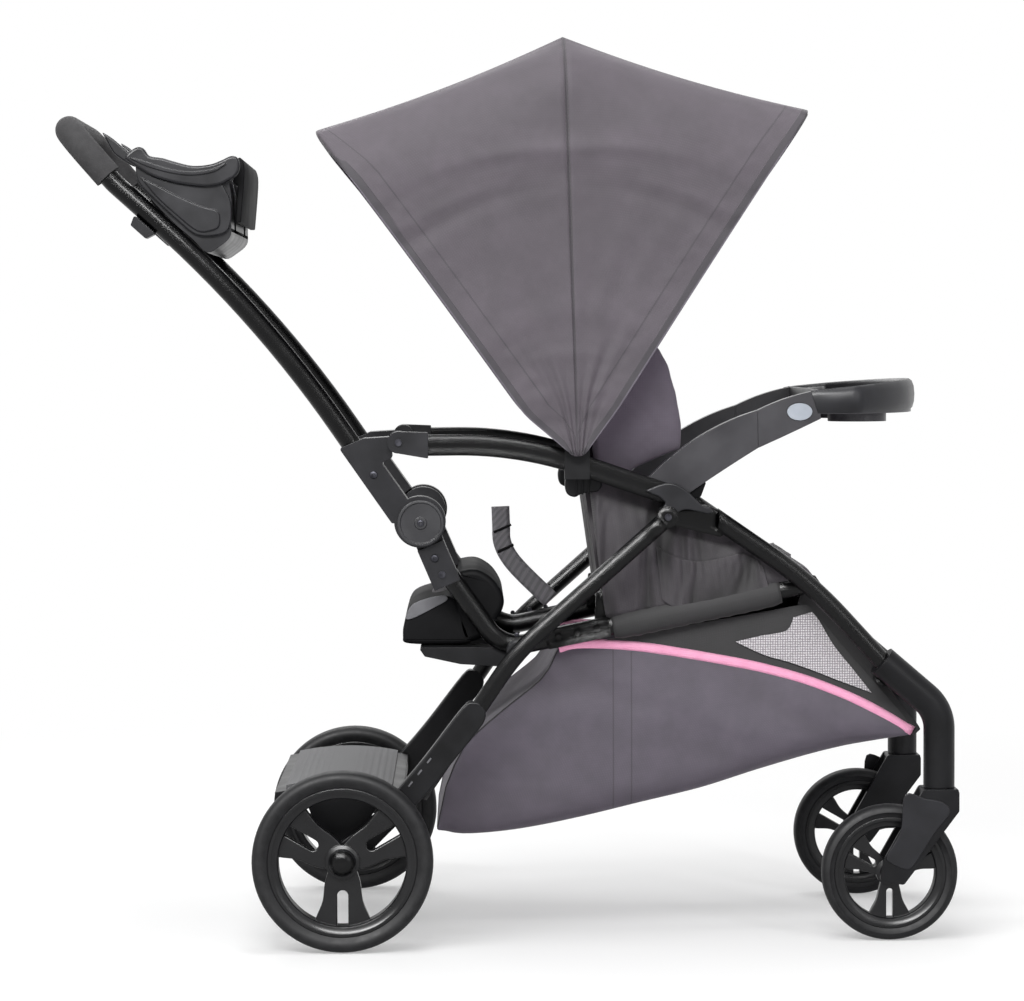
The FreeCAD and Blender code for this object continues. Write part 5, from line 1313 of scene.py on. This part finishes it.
def floorMaterial():
    # matt white paper sweep: takes the shadow under the object and is plain white farther out
    material, tree, shader, coords = startMaterial("whitePaper", Roughness=0.9)
    shader.inputs["Base Color"].default_value = linear("#f4f4f4")
    glow = addNode(tree, "Emission", {"Color": linear("#ffffff"), "Strength": 1.0})
    path = addNode(tree, "LightPath")
    far = addNode(tree, "VectorMath", {0: coords.outputs["Object"]}, operation="LENGTH")
    share = span(tree, far.outputs["Value"], stage["shadowReach"], stage["whiteFrom"], 0.35, 1.0)
    seen = addNode(tree, "Math", {0: path.outputs["Is Camera Ray"], 1: path.outputs["Is Glossy Ray"]},
                   operation="MAXIMUM")
    seen = addNode(tree, "Math", {0: seen.outputs["Value"], 1: path.outputs["Is Transmission Ray"]},
                   operation="MAXIMUM")
    factor = addNode(tree, "Math", {0: share, 1: seen.outputs["Value"]}, operation="MULTIPLY")
    mix = addNode(tree, "MixShader", {0: factor.outputs["Value"], 1: shader.outputs["BSDF"],
                                      2: glow.outputs["Emission"]})
    out = next(n for n in tree.nodes if n.type == "OUTPUT_MATERIAL")
    tree.links.new(mix.outputs["Shader"], out.inputs["Surface"])
    return material


bpy.ops.object.select_all(action="DESELECT")
bpy.ops.mesh.primitive_plane_add(size=stage["floorSize"], location=(0, 0, 0))
floor = nameNew("studio_floor")
floor.data.materials.append(floorMaterial())

world = bpy.data.worlds.new("studio")
bpy.context.scene.world = world
world.use_nodes = True
tree = world.node_tree
sky = tree.nodes["Background"]
sky.inputs["Color"].default_value = linear("#ffffff")
path = addNode(tree, "LightPath")
seen = addNode(tree, "Math", {0: path.outputs["Is Camera Ray"], 1: path.outputs["Is Glossy Ray"]}, operation="MAXIMUM")
seen = addNode(tree, "Math", {0: seen.outputs["Value"], 1: path.outputs["Is Transmission Ray"]}, operation="MAXIMUM")
tree.links.new(span(tree, seen.outputs["Value"], 0, 1, stage["world"], 1.0), sky.inputs["Strength"])

lamps = {
    "keyLamp": {"place": (-1.0, -2.6, 3.0), "size": (3.4, 0.3), "power": 72.0},
    "fillLamp": {"place": (2.2, -2.8, 1.7), "size": (0.3, 1.8), "power": 24.0},
    "topLamp": {"place": (0.1, 0.0, 3.2), "size": (2.2, 0.8), "power": 48.0},
    "backLamp": {"place": (-0.6, 2.6, 2.2), "size": (2.0, 1.2), "power": 25.0},
    "stripLamp": {"place": (-1.0, -2.7, 2.6), "size": (3.6, 0.5), "power": 450.0},
}
for name, lamp in lamps.items():
    data = bpy.data.lights.new(name, "AREA")
    data.shape = "RECTANGLE"
    data.size, data.size_y = lamp["size"]
    data.energy = lamp["power"]
    light = bpy.data.objects.new(name, data)
    bpy.context.scene.collection.objects.link(light)
    light.visible_diffuse = name != "stripLamp"  # the strip only draws the long highlights on the gloss tubes
    light.location = lamp["place"]
    light.rotation_euler = (Vector((0, 0, 0.6)) - Vector(lamp["place"])).to_track_quat("-Z", "Y").to_euler()

view = {"place": (-0.053073, -4.55443, 0.7679), "yaw": 0.0139207, "pitch": 0.0457779, "roll": -0.00353069,
        "lens": 120.17}
forward = Vector((math.sin(view["yaw"]) * math.cos(view["pitch"]), math.cos(view["yaw"]) * math.cos(view["pitch"]),
                  -math.sin(view["pitch"])))
right = Vector((math.cos(view["yaw"]), -math.sin(view["yaw"]), 0))
up = right.cross(forward)
rolledRight = right * math.cos(view["roll"]) + up * math.sin(view["roll"])
rolledUp = up * math.cos(view["roll"]) - right * math.sin(view["roll"])
lens = bpy.data.cameras.new("photoCamera")
lens.lens = view["lens"]
lens.sensor_width = 36.0
lens.clip_end = 200.0
camera = bpy.data.objects.new("photoCamera", lens)
bpy.context.scene.collection.objects.link(camera)
turn = Matrix((rolledRight, rolledUp, -forward)).transposed().to_4x4()
camera.matrix_world = Matrix.Translation(Vector(view["place"])) @ turn
bpy.context.scene.camera = camera
bpy.context.scene.view_settings.view_transform = "Standard"
print("stage made")
